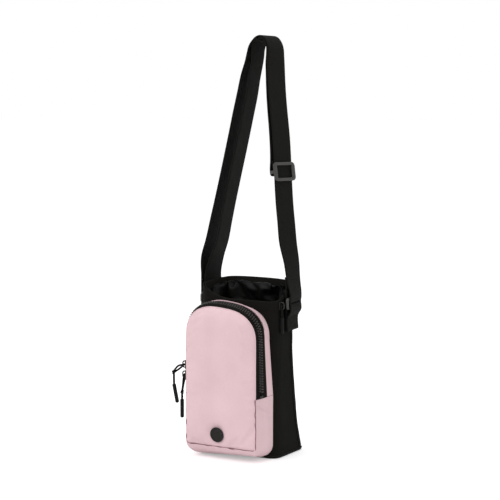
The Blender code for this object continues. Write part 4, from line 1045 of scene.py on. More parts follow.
def border_gaps(x, z):
    """Distances from a place on the face to the points of its seam."""
    return np.hypot(border[:, 0] - x, border[:, 1] - z)


def within(x, z):
    """Whether a place lies inside the outline, by counting crossings to its right."""
    x1, z1 = border[:, 0], border[:, 1]
    x2, z2 = np.roll(x1, -1), np.roll(z1, -1)
    hits = (z1 > z) != (z2 > z)
    cross = x1[hits] + (z - z1[hits]) / (z2[hits] - z1[hits]) * (x2[hits] - x1[hits])
    return int(np.sum(cross > x)) % 2 == 1


bm = bmesh.new()
uv = bm.loops.layers.uv.new("UVMap")
columns, lines = round(2 * PANEL_HALF / CELL), round(face_height / CELL)
bmesh.ops.create_grid(bm, x_segments=columns, y_segments=lines, size=1.0, calc_uvs=True)
for vert in bm.verts:
    vert.co = (vert.co.x * PANEL_HALF, PANEL_BOTTOM + (vert.co.y * 0.5 + 0.5) * face_height, 0.0)
bmesh.ops.delete(bm, geom=[face for face in bm.faces if not within(*face.calc_center_median().xy)], context="FACES")
rim = {vert for vert in bm.verts if vert.is_boundary}
for vert in rim:
    vert.co.xy = border[int(np.argmin(border_gaps(*vert.co.xy)))]
near = [vert for vert in bm.verts if vert not in rim and np.min(border_gaps(*vert.co.xy)) < 3 * CELL]
for _ in range(4):
    bmesh.ops.smooth_vert(bm, verts=near, factor=0.5, use_axis_x=True, use_axis_y=True)
for face in bm.faces:
    for loop in face.loops:
        loop[uv].uv = loop.vert.co.xy
bmesh.ops.remove_doubles(bm, verts=bm.verts, dist=MERGE)
for vert in bm.verts:
    x, z = vert.co.xy
    relief = FOLD_RELIEF * noise.noise(Vector((x * 42.0 + 0.35, z * 8.0, 3.0)))
    relief += FINE_RELIEF * noise.noise(Vector((x * 75.0, z * 30.0, 9.0)))
    vert.co = (x, panel_front(x, z) + relief * min(1.0, float(np.min(border_gaps(x, z))) / RELIEF_FADE), z)
bmesh.ops.recalc_face_normals(bm, faces=bm.faces)
if sum(face.normal.y for face in bm.faces) > 0:
    bmesh.ops.reverse_faces(bm, faces=bm.faces)
face_piece = new_piece("pocket_face_cloth", bm, PINK, 70)
print("pocket face", len(face_piece.data.polygons), "cells")

# %% Puff the face and let its seams pucker
BADGE_PLACE, BADGE_RADIUS, BADGE_CALM = (-0.003, 0.0345), 0.0100, 0.006
FACE_LIMIT, PUCKER, PUCKER_FROM_SEAM, PUCKER_SPREAD, ROLL, ROLL_REACH = 0.0022, 0.0011, 0.004, 0.000030, 0.0016, 0.0011
before = simulate_slack(face_piece, 0.012, 0.35, 30, stiffness=8.0, bending=0.8, gravity=0.0)
seam_run = run_along(border)
for vert, old in zip(face_piece.data.vertices, before):
    gaps = border_gaps(old.x, old.z)
    nearest = int(np.argmin(gaps))
    gap, run = float(gaps[nearest]), seam_run[nearest]
    move = vert.co - old
    if move.length > FACE_LIMIT:
        move = move.normalized() * FACE_LIMIT
    off_badge = max(math.hypot(old.x - BADGE_PLACE[0], old.z - BADGE_PLACE[1]) - BADGE_RADIUS, 0.0)
    move *= 1.0 - math.exp(-((off_badge / BADGE_CALM) ** 2))
    pull = noise.noise(Vector((run * 95.0, 0.0, 5.0))) + 0.4 * noise.noise(Vector((run * 210.0, 0.0, 8.0)))
    pucker = PUCKER * pull * math.exp(-((gap - PUCKER_FROM_SEAM) ** 2) / PUCKER_SPREAD)
    vert.co = old + move + Vector((0.0, ROLL * math.exp(-gap / ROLL_REACH) - pucker, 0.0))
face_piece.data.update()
moves = [(vert.co - old).length for vert, old in zip(face_piece.data.vertices, before)]
print("face moved at most", round(max(moves) * 1000, 2), "mm")

# %% Wall and smoothness of the face
smooth = face_piece.modifiers.new("smooth", "SUBSURF")
smooth.levels = smooth.render_levels = 1
solid = face_piece.modifiers.new("wall", "SOLIDIFY")
solid.thickness, solid.offset = PANEL_WALL - 0.0004, -1.0
place_piece(face_piece, "bag", "pink_cloth", "pocket_front_panel")

# %% Gusset sheets
SIDE_CREASE = ((0.004, 0.0785), (0.034, 0.0640), 0.0015, 0.0020)  # ends as depth and height, then depth and width


def gusset_rows(front, rear, shares, wrinkle):
    """Rows of points along the gusset, at these shares of its depth."""
    rows = []
    for share in shares:
        slack = math.sin(math.pi * bounded((share - shares[0]) / (shares[-1] - shares[0])))
        row = []
        for a, b in zip(front, rear):
            point = gusset_point(a, b, share)
            crumple = noise.noise(Vector((point.y * 85.0, point.z * 22.0, 2.0 + a[0])))
            crumple += 0.4 * noise.noise(point * 140.0)
            crease = crease_at((share * GUSSET_DEPTH, a[1]), *SIDE_CREASE) if a[0] > 0 else 0.0
            row.append(point + swell(*a, share)[0] * (wrinkle * slack * crumple - crease))
        rows.append(row)
    return rows


def strip(name, start, end, rows, wall, material, slot, node, wrinkle=0.0):
    """A strip of the gusset over the arch."""
    strip_rows = gusset_rows(*arch_lines(ZIP_END), np.linspace(start, end, rows + 1), wrinkle)
    return place_piece(cloth(name, strip_rows, wall, material, wall * 0.25), "bag", slot, node)


strip("pocket_arch_gusset", TAPE_END, 1.0, 16, GUSSET_WALL, PINK, "pink_cloth", "pocket_upper_gusset", 0.0006)
foot_front = leg_and_floor(PANEL_HALF, PANEL_BOTTOM, PANEL_CORNER, ZIP_END - GAP)
foot_rear = leg_and_floor(REAR_HALF, REAR_BOTTOM, REAR_CORNER, ZIP_END - GAP)
foot_rows = gusset_rows(foot_front, foot_rear, [0.010, 0.022, *np.linspace(0.035, 1.0, 30)], 0.0012)
foot_gusset = cloth("pocket_foot_gusset", foot_rows, GUSSET_WALL, PINK, 0.0004)
place_piece(foot_gusset, "bag", "pink_cloth", "pocket_lower_gusset")

# %% Sheet behind the pocket
sheet_inset = GUSSET_WALL + 2 * GAP
sheet_half = REAR_HALF - sheet_inset
sheet_line = leg_and_arch(sheet_half - REAR_TAPER, REAR_TOP - sheet_inset, ZIP_END, REAR_TAPER)
sheet_line += leg_and_floor(sheet_half, REAR_BOTTOM + sheet_inset, REAR_CORNER - sheet_inset, ZIP_END)[1:]
sheet_middle = (PANEL_TOP + PANEL_BOTTOM) / 2
sheet_rows = []
for share in (1.0, 0.98, 0.96, 0.93, 0.90, 0.86, 0.8, 0.6, 0.3, 0.0):
    flat = [(x * share, sheet_middle + (z - sheet_middle) * share) for x, z in sheet_line]
    sheet_rows.append([Vector((x, bag_front(x, z) - GAP, z - sag(z, 1.0))) for x, z in flat])
rear_sheet = cloth("pocket_rear_sheet", sheet_rows, 0.0010, PINK, 0.0002)
place_piece(rear_sheet, "bag", "pink_cloth", "pocket_back_panel")

# %% Seams round the face
SEAM_BEHIND, SEAM_WITHIN, STITCH_OFF, STITCH_PROUD = 0.0016, 0.9985, 0.014, 0.0009


def seam_line(points, wander):
    """A seam just behind the edge of the face, which wanders a little as sewn cloth does."""
    line = []
    for x, z in points:
        slip = wander * noise.noise(Vector((x * 90.0, 7.0, z * 90.0)))
        line.append(Vector((x * SEAM_WITHIN, panel_front(x, z) + SEAM_BEHIND + slip, z + slip * 0.6)))
    return line


arch_front, arch_rear = arch_lines(ZIP_END)
arch_only = slice(LEG_CELLS + 8, -LEG_CELLS - 8)
top_pairs = list(zip(arch_front, arch_rear))[arch_only]
top_line = [gusset_point(a, b, TAPE_END + STITCH_OFF, STITCH_PROUD) for a, b in top_pairs]
for name, line, radius, material in (
    # The foot seam is a dark mauve tube: painted shade in the gap between the face and the gusset. The arch seam is
    # plain pink.
    ("pocket_foot_seam_shade", seam_line(foot_outline, 0.0010), 0.00095, PINK_SEAM_SHADE),
    ("pocket_arch_seam", seam_line(arch_front[::2], 0.0004), 0.0007, PINK),
    ("pocket_zip_topstitch", top_line[::2], 0.0009, PINK_THREAD),
):
    joined(name, [tube(line, radius, 8)], material, "bag", "pink_cloth")

# %% [markdown]
# ## Zipper
# A moulded zipper is two cloth tapes, each with a row of chunky teeth that alternate across the middle. One tooth is
# modelled and set down along the arch at an even pitch, turned to lie across it. An array on a curve would bend the
# teeth.

# %% Tapes
TAPE_WALL, TAPE_TUCK, HALF_SLIT = 0.0008, 0.02, SLIT / 2 / GUSSET_DEPTH
slit_front, slit_rear = TEETH_MIDDLE - HALF_SLIT, TEETH_MIDDLE + HALF_SLIT
tapes = (("front", TAPE_START - TAPE_TUCK, slit_front, 8), ("rear", slit_rear, TAPE_END, 7))
for name, start, end, rows in tapes:
    strip(f"zip_tape_{name}_weave", start, end, rows, TAPE_WALL, TAPE, "webbing", "zip_tape_" + name)

# %% Teeth
TOOTH_PITCH, TOOTH_LENGTH, STOP_HEIGHT, TOOTH_EDGE = 0.0034, 0.0014, 0.0040, 0.00035
HEAD_REACH, HEAD_LOW, HEAD_NARROW = SLIT / 2 - 0.0003, 0.82, 0.86
front_line, rear_line = (np.array(line) for line in arch_lines(ZIP_END + STOP_HEIGHT + GAP))


def zip_point(place, depth):
    """A point of the zipper, at a share of its arch and a share of the gusset's depth."""
    k = place * (len(front_line) - 1)
    low = min(int(k), len(front_line) - 2)
    front, rear = (line[low] + (line[low + 1] - line[low]) * (k - low) for line in (front_line, rear_line))
    return gusset_point(front, rear, depth)


def zip_axes(place, depth):
    """The ways along the zipper, across it and out of it."""
    along = (zip_point(min(place + 0.002, 1.0), depth) - zip_point(max(place - 0.002, 0.0), depth)).normalized()
    across = (zip_point(place, depth + 0.02) - zip_point(place, depth - 0.02)).normalized()
    return along, across, across.cross(along).normalized()


samples = np.linspace(0.0, 1.0, 400)
arch_run = run_along([zip_point(place, TEETH_MIDDLE) for place in samples])
count = int(arch_run[-1] // TOOTH_PITCH)


def tooth_row(name, side, shift, node):
    """One row of teeth: a foot on the tape and a narrower head that reaches for the other row."""
    whole = bmesh.new()
    depth = TEETH_MIDDLE + side * (TEETH_WIDTH + SLIT) / 2 / GUSSET_DEPTH
    for run in (np.arange(count) + 0.5 + shift) * TOOTH_PITCH:
        if run > arch_run[-1] - 0.001:
            continue
        place = float(np.interp(run, arch_run, samples))
        along, across, out = zip_axes(place, depth)
        middle = zip_point(place, depth) + out * (TEETH_PROUD - TEETH_WALL / 2)
        made = bmesh.ops.create_cube(whole, size=1.0)["verts"]
        bmesh.ops.transform(whole, matrix=Matrix.Diagonal((TEETH_WIDTH, TEETH_WALL, TOOTH_LENGTH, 1.0)), verts=made)
        for vert in made:
            if vert.co.x < 0:
                vert.co = (vert.co.x - HEAD_REACH, vert.co.y * HEAD_LOW, vert.co.z * HEAD_NARROW)
        bmesh.ops.transform(whole, matrix=axes_at(middle, across * side, out, along), verts=made)
    bmesh.ops.bevel(whole, geom=whole.edges[:], offset=TOOTH_EDGE, segments=1, profile=0.5, affect="EDGES", material=-1)
    bmesh.ops.recalc_face_normals(whole, faces=whole.faces)
    return place_piece(new_piece(name, whole, TEETH, 35), "bag", "black_moulded", node)


tooth_row("zip_teeth_front_row", -1, -0.25, "zip_teeth_front")
tooth_row("zip_teeth_rear_row", 1, 0.25, "zip_teeth_rear")
print("teeth in a row", count)

# %% Frames on the straight legs of the zipper


def leg_point(height, share, side, proud=0.0):
    rear = REAR_HALF - REAR_TAPER * (height - ZIP_END) / (ARCH_SPRING - ZIP_END)
    return gusset_point((side * PANEL_HALF, height), (side * rear, height), share, proud)


def leg_frame(height, side):
    """The ways out of the teeth and across them, on a straight leg."""
    half_row = TEETH_WIDTH / GUSSET_DEPTH
    across = leg_point(height, TEETH_MIDDLE + half_row, side) - leg_point(height, TEETH_MIDDLE - half_row, side)
    across.normalize()
    return across.cross(UP) * side, across


BAIL_WIRE, BAIL_LENGTH, BAIL_HEIGHT = 0.0018, 0.0100, 0.0052


def bail(foot, out):
    """A low arch of wire that stands along Z at a foot."""
    half, rise, sunk = BAIL_LENGTH / 2 - BAIL_WIRE / 2, BAIL_HEIGHT - BAIL_WIRE / 2, -BAIL_WIRE / 2
    left = [(-half, sunk), (-half, rise * 0.45), (-half * 0.93, rise * 0.8), (-half * 0.6, rise)]
    shape = left + [(0.0, rise * 1.02)] + [(-z, reach) for z, reach in reversed(left)]
    return tube([foot + UP * z + out * reach for z, reach in shape], BAIL_WIRE / 2, 12, step=0.0006)


for side, name in ((-1, "left"), (1, "right")):
    height = ZIP_END + STOP_HEIGHT / 2
    out, _ = leg_frame(height, side)
    place = leg_point(height, TEETH_MIDDLE, side) + out * (TEETH_PROUD - TEETH_WALL / 2)
    size = (0.0036, 2 * TEETH_WIDTH, STOP_HEIGHT - GAP)
    clamp = rounded_block(size, axes_at(place, out, UP.cross(out), UP), 0.0007, 3)
    joined("zip_stop_clamp_" + name, [clamp], METAL, "bag", "black_metal", "zip_stop_" + name)

# %% Sliders
SLIDER_WIDTH, SLIDER_LENGTH, SLIDER_WING, SLIDER_PLAY, SLIDER_TAPER = 0.0120, 0.0130, 0.0018, 0.0004, 0.72
SLIDER_HEIGHTS = {"upper": 0.1200, "lower": 0.1064}
HINGES = {}
for name, height in SLIDER_HEIGHTS.items():
    out, across = leg_frame(height, -1)
    middle = leg_point(height, TEETH_MIDDLE, -1, TEETH_PROUD) - out * TEETH_PROUD
    outer = TEETH_PROUD + SLIDER_PLAY + SLIDER_WING / 2
    inner = TEETH_PROUD - TEETH_WALL - 2 * SLIDER_PLAY - SLIDER_WING / 2
    head = UP if name == "upper" else -UP
    axes = (out, head.cross(out), head)
    wing = (SLIDER_WING, SLIDER_WIDTH, SLIDER_LENGTH)
    wings = [axes_at(middle + out * reach, *axes) for reach in (outer, inner)]
    parts = [rounded_block(wing, place, 0.0007, 3, SLIDER_TAPER) for place in wings]
    neck = axes_at(middle + out * (outer + inner) / 2, *axes)
    foot = middle + out * (outer + SLIDER_WING / 2)
    parts += [rounded_block((outer - inner, 0.0008, 0.0040), neck, 0.0001, 1), bail(foot, out)]
    joined("zip_slider_body_" + name, parts, METAL, "zip_slider_" + name, "black_metal", "zip_slider_" + name)
    HINGES[name] = (foot + out * (BAIL_HEIGHT - BAIL_WIRE) / 2, out, across)

# %% [markdown]
# ## Cord pulls
# Each pull is a short braided cord, doubled through the bail, knotted and pushed into a moulded end. It is part of
# its slider, and not a free cord, so it is built as a tube along a smooth line, with its knot as a few tight turns.

# %% Cord pull maker
PULL_RADIUS, TAIL_RADIUS, LOOP_WIDTH, KNOT_LENGTH, KNOT_TURNS = 0.0012, 0.0015, 0.0066, 0.0046, 2.3
END_RADIUS, END_LENGTH, CORD_STEP, TAIL_STEP = 0.0025, 0.0250, 0.0006, 0.0008
END_SHAPE = (  # shares of the end's radius and of its length
    (0.0, 0.0), (0.70, 0.0), (0.90, 0.012), (0.97, 0.035), (1.0, 0.07),
    (1.0, 0.92), (0.96, 0.95), (0.80, 0.98), (0.45, 0.997), (0.0, 1.0),
)
DOWN = -UP


def add_pull(
    name, hinge, across, knot, tail, tip,
    width=LOOP_WIDTH, thick=PULL_RADIUS, tail_thick=TAIL_RADIUS, part=Vector(),
):
    """A pull: its loop, whose strands stand apart by part, the knot's turns, the tail, and the moulded end."""
    side, closed = across * width / 2, across * (2 * thick + GAP) / 2
    fall, drop = knot - hinge, (tip - tail).normalized()
    loop = [knot - closed * 0.7 + part * 0.3, hinge + fall * 0.5 - side * 0.55 + part]
    loop += [hinge + fall * 0.18 - side + part * 0.4, hinge - side * 0.6, hinge + side * 0.6]
    loop += [hinge + fall * 0.18 + side, hinge + fall * 0.5 + side * 0.55 - part * 0.3]
    loop.append(knot + closed * 0.7 - part * 0.3)
    way = fall.normalized()
    other = way.cross(across).normalized()
    turns = []
    for s in np.linspace(0.0, 1.0, 60):
        a = 2 * math.pi * KNOT_TURNS * s
        turns.append(knot + way * (s - 0.5) * KNOT_LENGTH + (across * math.cos(a) + other * math.sin(a)) * thick)
    cords = [tube(loop, thick, 12, step=CORD_STEP), tube(turns, thick * 0.9, 10)]
    cords.append(tube([knot, knot.lerp(tail, 0.5), tail + drop * 0.001], tail_thick, 12, step=TAIL_STEP))
    joined(name + "_braid", cords, CORD, name, "cord", name + "_cord")
    profile = [(END_RADIUS * radius, (tip - tail).length * height) for radius, height in END_SHAPE]
    side_way = across.cross(drop).normalized()
    end = turned(profile, axes_at(tail, side_way, drop.cross(side_way), drop), 24)
    joined(name + "_tip", [end], RUBBER, name, "black_moulded", name + "_end")


print("pull end", END_LENGTH * 1000, "mm long")

# %% The two zip pulls
STAGGER = 0.0045
hinge, out, across = HINGES["upper"]
stagger = across * STAGGER
knot = hinge - stagger + out * 0.0138 + DOWN * 0.0100
tail = knot + DOWN * 0.0165
tip = tail + DOWN * END_LENGTH - out * 0.0048
add_pull("zip_pull_upper", hinge, across, knot, tail, tip, thick=0.0013, part=UP * 0.0034)

hinge, out, across = HINGES["lower"]
knot = hinge + stagger + out * 0.0055 + DOWN * 0.0250
tail = knot + DOWN * 0.0095
add_pull("zip_pull_lower", hinge, across, knot, tail, tail + DOWN * END_LENGTH)

# %% Drawcord eyelet and pull
PLATE, EYELET_BELOW_RIM, EYELET_AHEAD = (0.0012, 0.0060, 0.0100), 0.0060, 0.0276
eyelet_height = FRONT_RIM - EYELET_BELOW_RIM
out, across = Vector((1.0, 0.0, 0.0)), Vector((0.0, 1.0, 0.0))
foot = Vector((bag_section(eyelet_height)[0] + GAP, -EYELET_AHEAD, eyelet_height))
plate = rounded_block(PLATE, axes_at(foot + out * PLATE[0] / 2, out, across, UP), 0.0005, 3)
foot += out * PLATE[0]
joined("drawcord_eyelet_plate", [plate, bail(foot, out)], METAL, "bag", "black_metal", "drawcord_eyelet")
hinge = foot + out * (BAIL_HEIGHT - BAIL_WIRE) / 2
knot = hinge + DOWN * 0.0126
tail = knot + DOWN * 0.0028
add_pull("drawcord_pull", hinge, across, knot, tail, tail + DOWN * 0.0210, 0.0044, 0.0011, 0.0011)

# %% [markdown]
# ## Badge
# A thin round badge sits low on the pocket, and it is left bare. A cylinder would look sharp and cheap, so it is
# turned from a profile with a soft raised rim and a shallow dish, and laid on the face along the face's own slope.

# %% Badge
BADGE_SHAPE = (  # shares of the radius, and heights
    (0.0, -0.0003), (0.97, -0.0003), (1.0, 0.0001), (1.0, 0.0007), (0.975, 0.0011),
    (0.93, 0.0012), (0.90, 0.0011), (0.87, 0.0008), (0.5, 0.00075), (0.0, 0.00075),
)
SLOPE_STEP = 0.004
x, z = BADGE_PLACE
rise_x = panel_front(x + SLOPE_STEP, z) - panel_front(x - SLOPE_STEP, z)
rise_z = panel_front(x, z + SLOPE_STEP) - panel_front(x, z - SLOPE_STEP)
slope_x = Vector((1.0, rise_x / (2 * SLOPE_STEP), 0.0)).normalized()
facing = slope_x.cross(Vector((0.0, rise_z / (2 * SLOPE_STEP), 1.0)).normalized()).normalized()
place = axes_at(Vector((x, panel_front(x, z) - GAP, z)), slope_x, facing.cross(slope_x), facing)
disc = turned([(BADGE_RADIUS * radius, height) for radius, height in BADGE_SHAPE], place, 64)
joined("bare_badge", [disc], BADGE, "bag", "black_moulded", "badge")

# %% [markdown]
# ## Strap
# The strap is one length of webbing: sewn round the right ring, over the top, round the left ring and back to a
# tri-glide that sets its length. Flat webbing is a ribbon along a smooth line, with ribs from its own UV map.

# %% Route of the strap
RING_BAR, RING_INNER, RING_HEIGHT, RING_CORNER, RING_CENTRE = 0.0040, 0.0400, 0.0160, 0.0032, 0.2030
WEB_WIDTH, WEB_WALL, TAB_BOTTOM, TAB_TURN_DEG, TAB_FORWARD = 0.038, 0.0018, 0.1660, 7.0, 0.0040
STRAP_TOP = 0.5510
ROUTE = (
    (0.065, 0.98), (0.135, 0.93), (0.21, 0.85), (0.29, 0.78), (0.325, 0.748),
    (0.652, 0.472), (0.70, 0.425), (0.775, 0.350), (0.85, 0.290), (0.90, 0.255),
)
BEND_START, BEND_WIDTH, BEND_CELLS = 0.93, 0.24, 4
STRAIGHT = (0.325, 0.652)
LEANS = ((0.0, 0.0), (0.21, 0.02), (0.325, 0.15), (0.652, 0.60), (0.70, 0.64), (0.85, 0.815), (1.0, 1.0))
LEAN_BACK, LEAN_SIDE = 0.0300, 0.0045
TWISTS, TWIST_DEG = ((0.0, -1.0), (0.135, 0.2), (0.21, 1.0), (0.90, 1.0), (1.0, 0.0)), 6.5
SPREADS = (
    (0.045, 0.0), (0.08, 0.65), (0.135, 0.80), (0.21, 1.0), (0.36, 0.87), (0.70, 0.86), (0.80, 0.82),
    (0.85, 0.72), (0.90, 0.58), (0.93, 0.46), (0.957, 0.32), (0.98, 0.15), (0.995, 0.0),
)
LEADS = ((0.08, 1.0), (0.21, 0.58), (0.70, 0.58), (0.85, 0.65), (0.93, 0.5))
SPREAD, RIGHT_STEP, SEWN_END = 0.0155, 0.0045, 0.018
TURN_RADIUS = RING_BAR / 2 + GAP + WEB_WALL / 2
PLY_STEP = WEB_WALL + GAP
BAR_RISE = RING_HEIGHT / 2 - RING_BAR / 2


def side_frame(side):
    """The middle of a strap ring, its outward direction, and the direction across its webbing."""
    turn = math.radians(TAB_TURN_DEG)
    out = Vector((side * math.cos(turn), math.sin(turn), 0.0))
    across = Vector((-side * math.sin(turn), math.cos(turn), 0.0))
    half, _, back, corner = bag_section(RING_CENTRE)
    centre = Vector((side * (half - corner), back - corner, RING_CENTRE))
    reach = corner + 2 * GAP + WEB_WALL / 2 + RING_BAR / 2 + WEB_WALL / 2 + GAP
    return centre + out * reach - across * TAB_FORWARD, out, across


def arc_pairs(radius, start_deg, end_deg, cells):
    angles = np.radians(np.linspace(start_deg, end_deg, cells + 1))
    return [(radius * math.cos(a), radius * math.sin(a)) for a in angles]


def route_table():
    top = arc_pairs(1.0, 0, 90, BEND_CELLS)
    return [*ROUTE, *((BEND_START + (1.0 - BEND_START) * up, BEND_WIDTH * across) for across, up in top)]


def strap_middle(side, share):
    ring, _, _ = side_frame(side)
    lean = read(LEANS, share)
    x = ring.x * read(((0.0, 1.0), *route_table()), share) + LEAN_SIDE * lean
    z = ring.z + BAR_RISE + (STRAP_TOP - ring.z - BAR_RISE) * share
    return Vector((x, ring.y + LEAN_BACK * lean, z))


def strap_frame(side, share):
    """Middle, way up, way across and way out of the strap at a share of its height."""
    turn = math.radians(TWIST_DEG * read(TWISTS, share))
    across = Vector((side * math.sin(turn), math.cos(turn), 0.0))
    along = (strap_middle(side, min(share + 0.001, 1.0)) - strap_middle(side, max(share - 0.001, 0.0))).normalized()
    if share >= 1.0:
        along = Vector((-float(side), 0.0, 0.0))
    across = (across - along * across.dot(along)).normalized()
    return strap_middle(side, share), along, across, across.cross(along) * side


def layer_offsets(side, share):
    """How far the long run and the returning run stand out from the route."""
    if side < 0:
        apart = max(SPREAD * read(SPREADS, share), PLY_STEP)
        lead = read(LEADS, share)
        return apart * lead, apart * (lead - 1.0)
    rise = read(((ROUTE[1][0], 1.0), (STRAIGHT[0], 0.0), (STRAIGHT[1], 0.0), (BEND_START, 1.0)), share)
    step = RIGHT_STEP + (PLY_STEP - RIGHT_STEP) * rise if share > STRAIGHT[0] else PLY_STEP
    return rise * PLY_STEP / 2, rise * PLY_STEP / 2 - step


def run_stations(side, layer, low):
    """Stations of one layer up one strand, from a share of the height to the top."""
    stations = []
    for share in [low] + [row[0] for row in route_table() if low < row[0]]:
        here, _, across, out = strap_frame(side, share)
        stations.append((here + out * layer_offsets(side, share)[layer], across))
    return stations


print("strap top", STRAP_TOP, "ring middle", [round(v, 4) for v in side_frame(1)[0]])

# %% Webbing ribbons
WEB_COLUMNS, WEB_STEP, WEB_EDGE = 12, 0.0022, 0.0006
RING_SLACK, SLACK_POWER = 0.56, 0.55


def ribbon(name, stations, node):
    """Webbing along stations, each a middle point and the way across, with soft selvedges."""
    line = smooth_path([(*middle, *across) for middle, across in stations], WEB_STEP)
    rows = []
    for station in line:
        middle, across = Vector(station[:3]), Vector(station[3:]).normalized()
        rows.append([middle + across * WEB_WIDTH / 2 * s for s in np.linspace(-1.0, 1.0, WEB_COLUMNS + 1)])
    made = cloth(name, rows, WEB_WALL, WEBBING, WEB_EDGE, offset=0.0)
    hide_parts(node)
    print(name, len(made.data.polygons), "faces, length", round(float(run_along(line)[-1]), 3), "m")
    return made


def slack_arc(start_deg, end_deg):
    """Webbing that hangs loosely round a ring's bar: a flat-bottomed turn."""
    wide, tall = TURN_RADIUS, TURN_RADIUS * (1.0 + RING_SLACK)
    pairs = arc_pairs(1.0, start_deg, end_deg, 8)
    return [(wide * math.copysign(abs(a) ** SLACK_POWER, a), tall * b) for a, b in pairs]


right_ring, right_out, right_across = side_frame(1)
left_ring, left_out, left_across = side_frame(-1)
right_bar, left_bar = right_ring + UP * BAR_RISE, left_ring + UP * BAR_RISE
low = ROUTE[0][0]
here, _, across, out = strap_frame(1, low + SEWN_END)
sewn_end = [(here + out * layer_offsets(1, low + SEWN_END)[1], across), run_stations(1, 1, low)[0]]
under_bar = [(-TURN_RADIUS, RING_BAR), *slack_arc(180, 360), (TURN_RADIUS, RING_BAR)]
right_end = sewn_end + [(right_bar + right_out * reach + UP * z, right_across) for reach, z in under_bar]
left_end = [(left_bar + left_out * reach + UP * z, left_across) for reach, z in reversed(under_bar)]
long_stations = right_end + run_stations(1, 0, low) + run_stations(-1, 0, low)[-2::-1] + left_end
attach(ribbon("strap_long_webbing", long_stations, "strap_long_run"), "bag")

# %% The returning run, which ends round the tri-glide's middle bar
GLIDE_SHARE, GLIDE_HEIGHT, GLIDE_BAR, GLIDE_SIDE, GLIDE_WALL, GLIDE_PLAY = 0.481, 0.0250, 0.0042, 0.0039, 0.0022, 0.0006
GLIDE_TILT_DEG, MEET_DROP, STRETCH_START, STRETCH_END = 5.0, 0.0035, 0.02, 0.08
bar_reach = -(WEB_WALL / 2 + GAP + WEB_WALL + GAP + GLIDE_WALL / 2)
glide_here, glide_along, glide_across, glide_out = strap_frame(1, GLIDE_SHARE)
tilt = Matrix.Rotation(math.radians(GLIDE_TILT_DEG), 3, glide_out)
glide_along, glide_across = tilt @ glide_along, tilt @ glide_across
radius, half_bar = GLIDE_WALL / 2 + GAP + WEB_WALL / 2, GLIDE_BAR / 2
hook = [(-PLY_STEP, GLIDE_HEIGHT * 0.6), (-PLY_STEP, -half_bar)]
hook += [(bar_reach + a, b - half_bar) for a, b in arc_pairs(radius, 0, -180, 4)[1:]]
hook += [(bar_reach - radius, half_bar), (-RIGHT_STEP, GLIDE_HEIGHT * 0.6)]
hook_stations = [(glide_here + glide_out * reach + glide_along * rise, glide_across) for reach, rise in hook]
up_right, down_left = run_stations(1, 1, STRAIGHT[1]), run_stations(-1, 1, low)
top, past = up_right[-1][0], down_left[-2][0]
meet, clear, level = (top + past) / 2 - UP * MEET_DROP, (top - past).normalized() * GAP / 2, up_right[-1][1]
up_right.append((meet + clear, level))
down_left[-1] = (meet - clear, level)
return_right = ribbon("strap_return_right_webbing", hook_stations + up_right, "strap_return_right")
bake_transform(return_right)
left_ring_side = [(left_bar - left_out * TURN_RADIUS + UP * (RING_BAR + GAP), left_across)]
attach(ribbon("strap_return_left_webbing", down_left[::-1] + left_ring_side, "strap_return_left"), "bag")

# %% Tabs and rings
half_bar = RING_BAR / 2
for side, name in ((-1, "left"), (1, "right")):
    centre, out, across = side_frame(side)
    bar = centre - UP * BAR_RISE
    foot, outer_foot = TAB_BOTTOM - bar.z, PLY_STEP - TURN_RADIUS
    pairs = [(-TURN_RADIUS, foot), (-TURN_RADIUS, -RING_BAR), *slack_arc(180, 0), (TURN_RADIUS, -RING_BAR)]
    pairs += [(outer_foot, -3 * RING_BAR), (outer_foot, foot)]
    stations = [(bar + out * reach + UP * z, across) for reach, z in pairs]
    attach(ribbon("strap_tab_webbing_" + name, stations, "strap_tab_" + name), "bag")
    axes = axes_at(centre, across, UP, across.cross(UP))
    ring = swept_frame(axes, RING_INNER / 2 + half_bar, BAR_RISE, RING_CORNER, half_bar, half_bar, half_bar, 1.0)
    joined("strap_ring_" + name, [ring], GREY_PLASTIC, "bag", "grey_plastic", "ring_" + name)

# %% Box stitches on the tabs and the sewn end
STITCH, STITCH_GAP, BOX_INSET = 0.0022, 0.0010, 0.003


def box_stitch(middle, across, up, out, width, height):
    """A sewn box with its crossed diagonals, on a flat place of the webbing."""
    corners = [middle + across * width / 2 * a + up * height / 2 * b for a, b in ((-1, -1), (1, -1), (1, 1), (-1, 1))]
    runs = [(corners[k], corners[(k + 1) % 4]) for k in range(4)] + [(corners[0], corners[2]), (corners[1], corners[3])]
    return [stitches([a, b], [out, out], STITCH, STITCH_GAP) for a, b in runs]


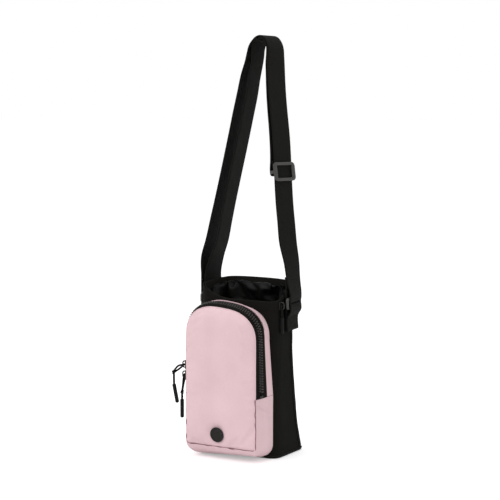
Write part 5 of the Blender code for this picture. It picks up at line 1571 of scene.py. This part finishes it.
boxes = []
box_top = RING_CENTRE - BAR_RISE - 3 * RING_BAR
for side in (-1, 1):
    centre, out, across = side_frame(side)
    face = centre + out * (PLY_STEP - TURN_RADIUS + WEB_WALL / 2)
    middle = Vector((face.x, face.y, (TAB_BOTTOM + 0.0025 + box_top) / 2))
    boxes += box_stitch(middle, across, UP, out, WEB_WIDTH - 2 * BOX_INSET, box_top - TAB_BOTTOM - 0.004)
joined("tab_box_stitches", boxes, BLACK_THREAD, "bag", "webbing")
rows = []
for share in (low + 0.002, low + SEWN_END - 0.008):
    here, along, across, out = strap_frame(1, share)
    outer = here + out * (layer_offsets(1, share)[0] + WEB_WALL / 2)
    reach = across * (WEB_WIDTH / 2 - BOX_INSET)
    rows.append(stitches([outer - reach, outer + reach], [out, out], STITCH, STITCH_GAP))
joined("strap_end_stitches", rows, BLACK_THREAD, "bag", "webbing")

# %% [markdown]
# ## Tri-glide
# The strap slider is a moulded frame in front of the strap, with a middle bar behind it that two short lugs carry. It
# could be cut from one block, but a bar swept round a rounded rectangle keeps its edges soft and its window clean.

# %% Tri-glide
GLIDE_CORNER, GLIDE_ROUNDNESS, LUG_WIDTH, LUG_SUNK, GLIDE_EDGE, LUG_EDGE = 0.0032, 0.7, 0.0020, 0.0004, 0.0009, 0.0007
glide_axes = axes_at(glide_here, glide_across, glide_along, glide_out)
half_width = WEB_WIDTH / 2 + GLIDE_PLAY + GLIDE_BAR - GLIDE_SIDE
half_height, half_bar = GLIDE_HEIGHT / 2 - GLIDE_BAR / 2, GLIDE_BAR / 2
front = WEB_WALL / 2 + GLIDE_PLAY + GLIDE_WALL / 2
front_place = glide_axes @ Matrix.Translation((0.0, 0.0, front))
frame_shape = (half_width, half_height, GLIDE_CORNER, GLIDE_SIDE, half_bar, GLIDE_WALL / 2, GLIDE_ROUNDNESS)
lug_place, lug = WEB_WIDTH / 2 + 2 * GLIDE_PLAY + LUG_WIDTH / 2, front - bar_reach + GLIDE_WALL - LUG_SUNK
blocks = [((2 * lug_place + LUG_WIDTH, GLIDE_BAR, GLIDE_WALL), (0.0, 0.0, bar_reach), GLIDE_EDGE)]
blocks += [((LUG_WIDTH, GLIDE_BAR, lug), (s * lug_place, 0.0, (front + bar_reach) / 2), LUG_EDGE) for s in (-1, 1)]
parts = [swept_frame(front_place, *frame_shape)]
parts += [rounded_block(size, glide_axes @ Matrix.Translation(place), edge, 4) for size, place, edge in blocks]
joined("strap_tri_glide", parts, GREY_PLASTIC, "strap_slider", "grey_plastic", "strap_slider")

# %% [markdown] Last update of the scene

bpy.context.view_layer.update()
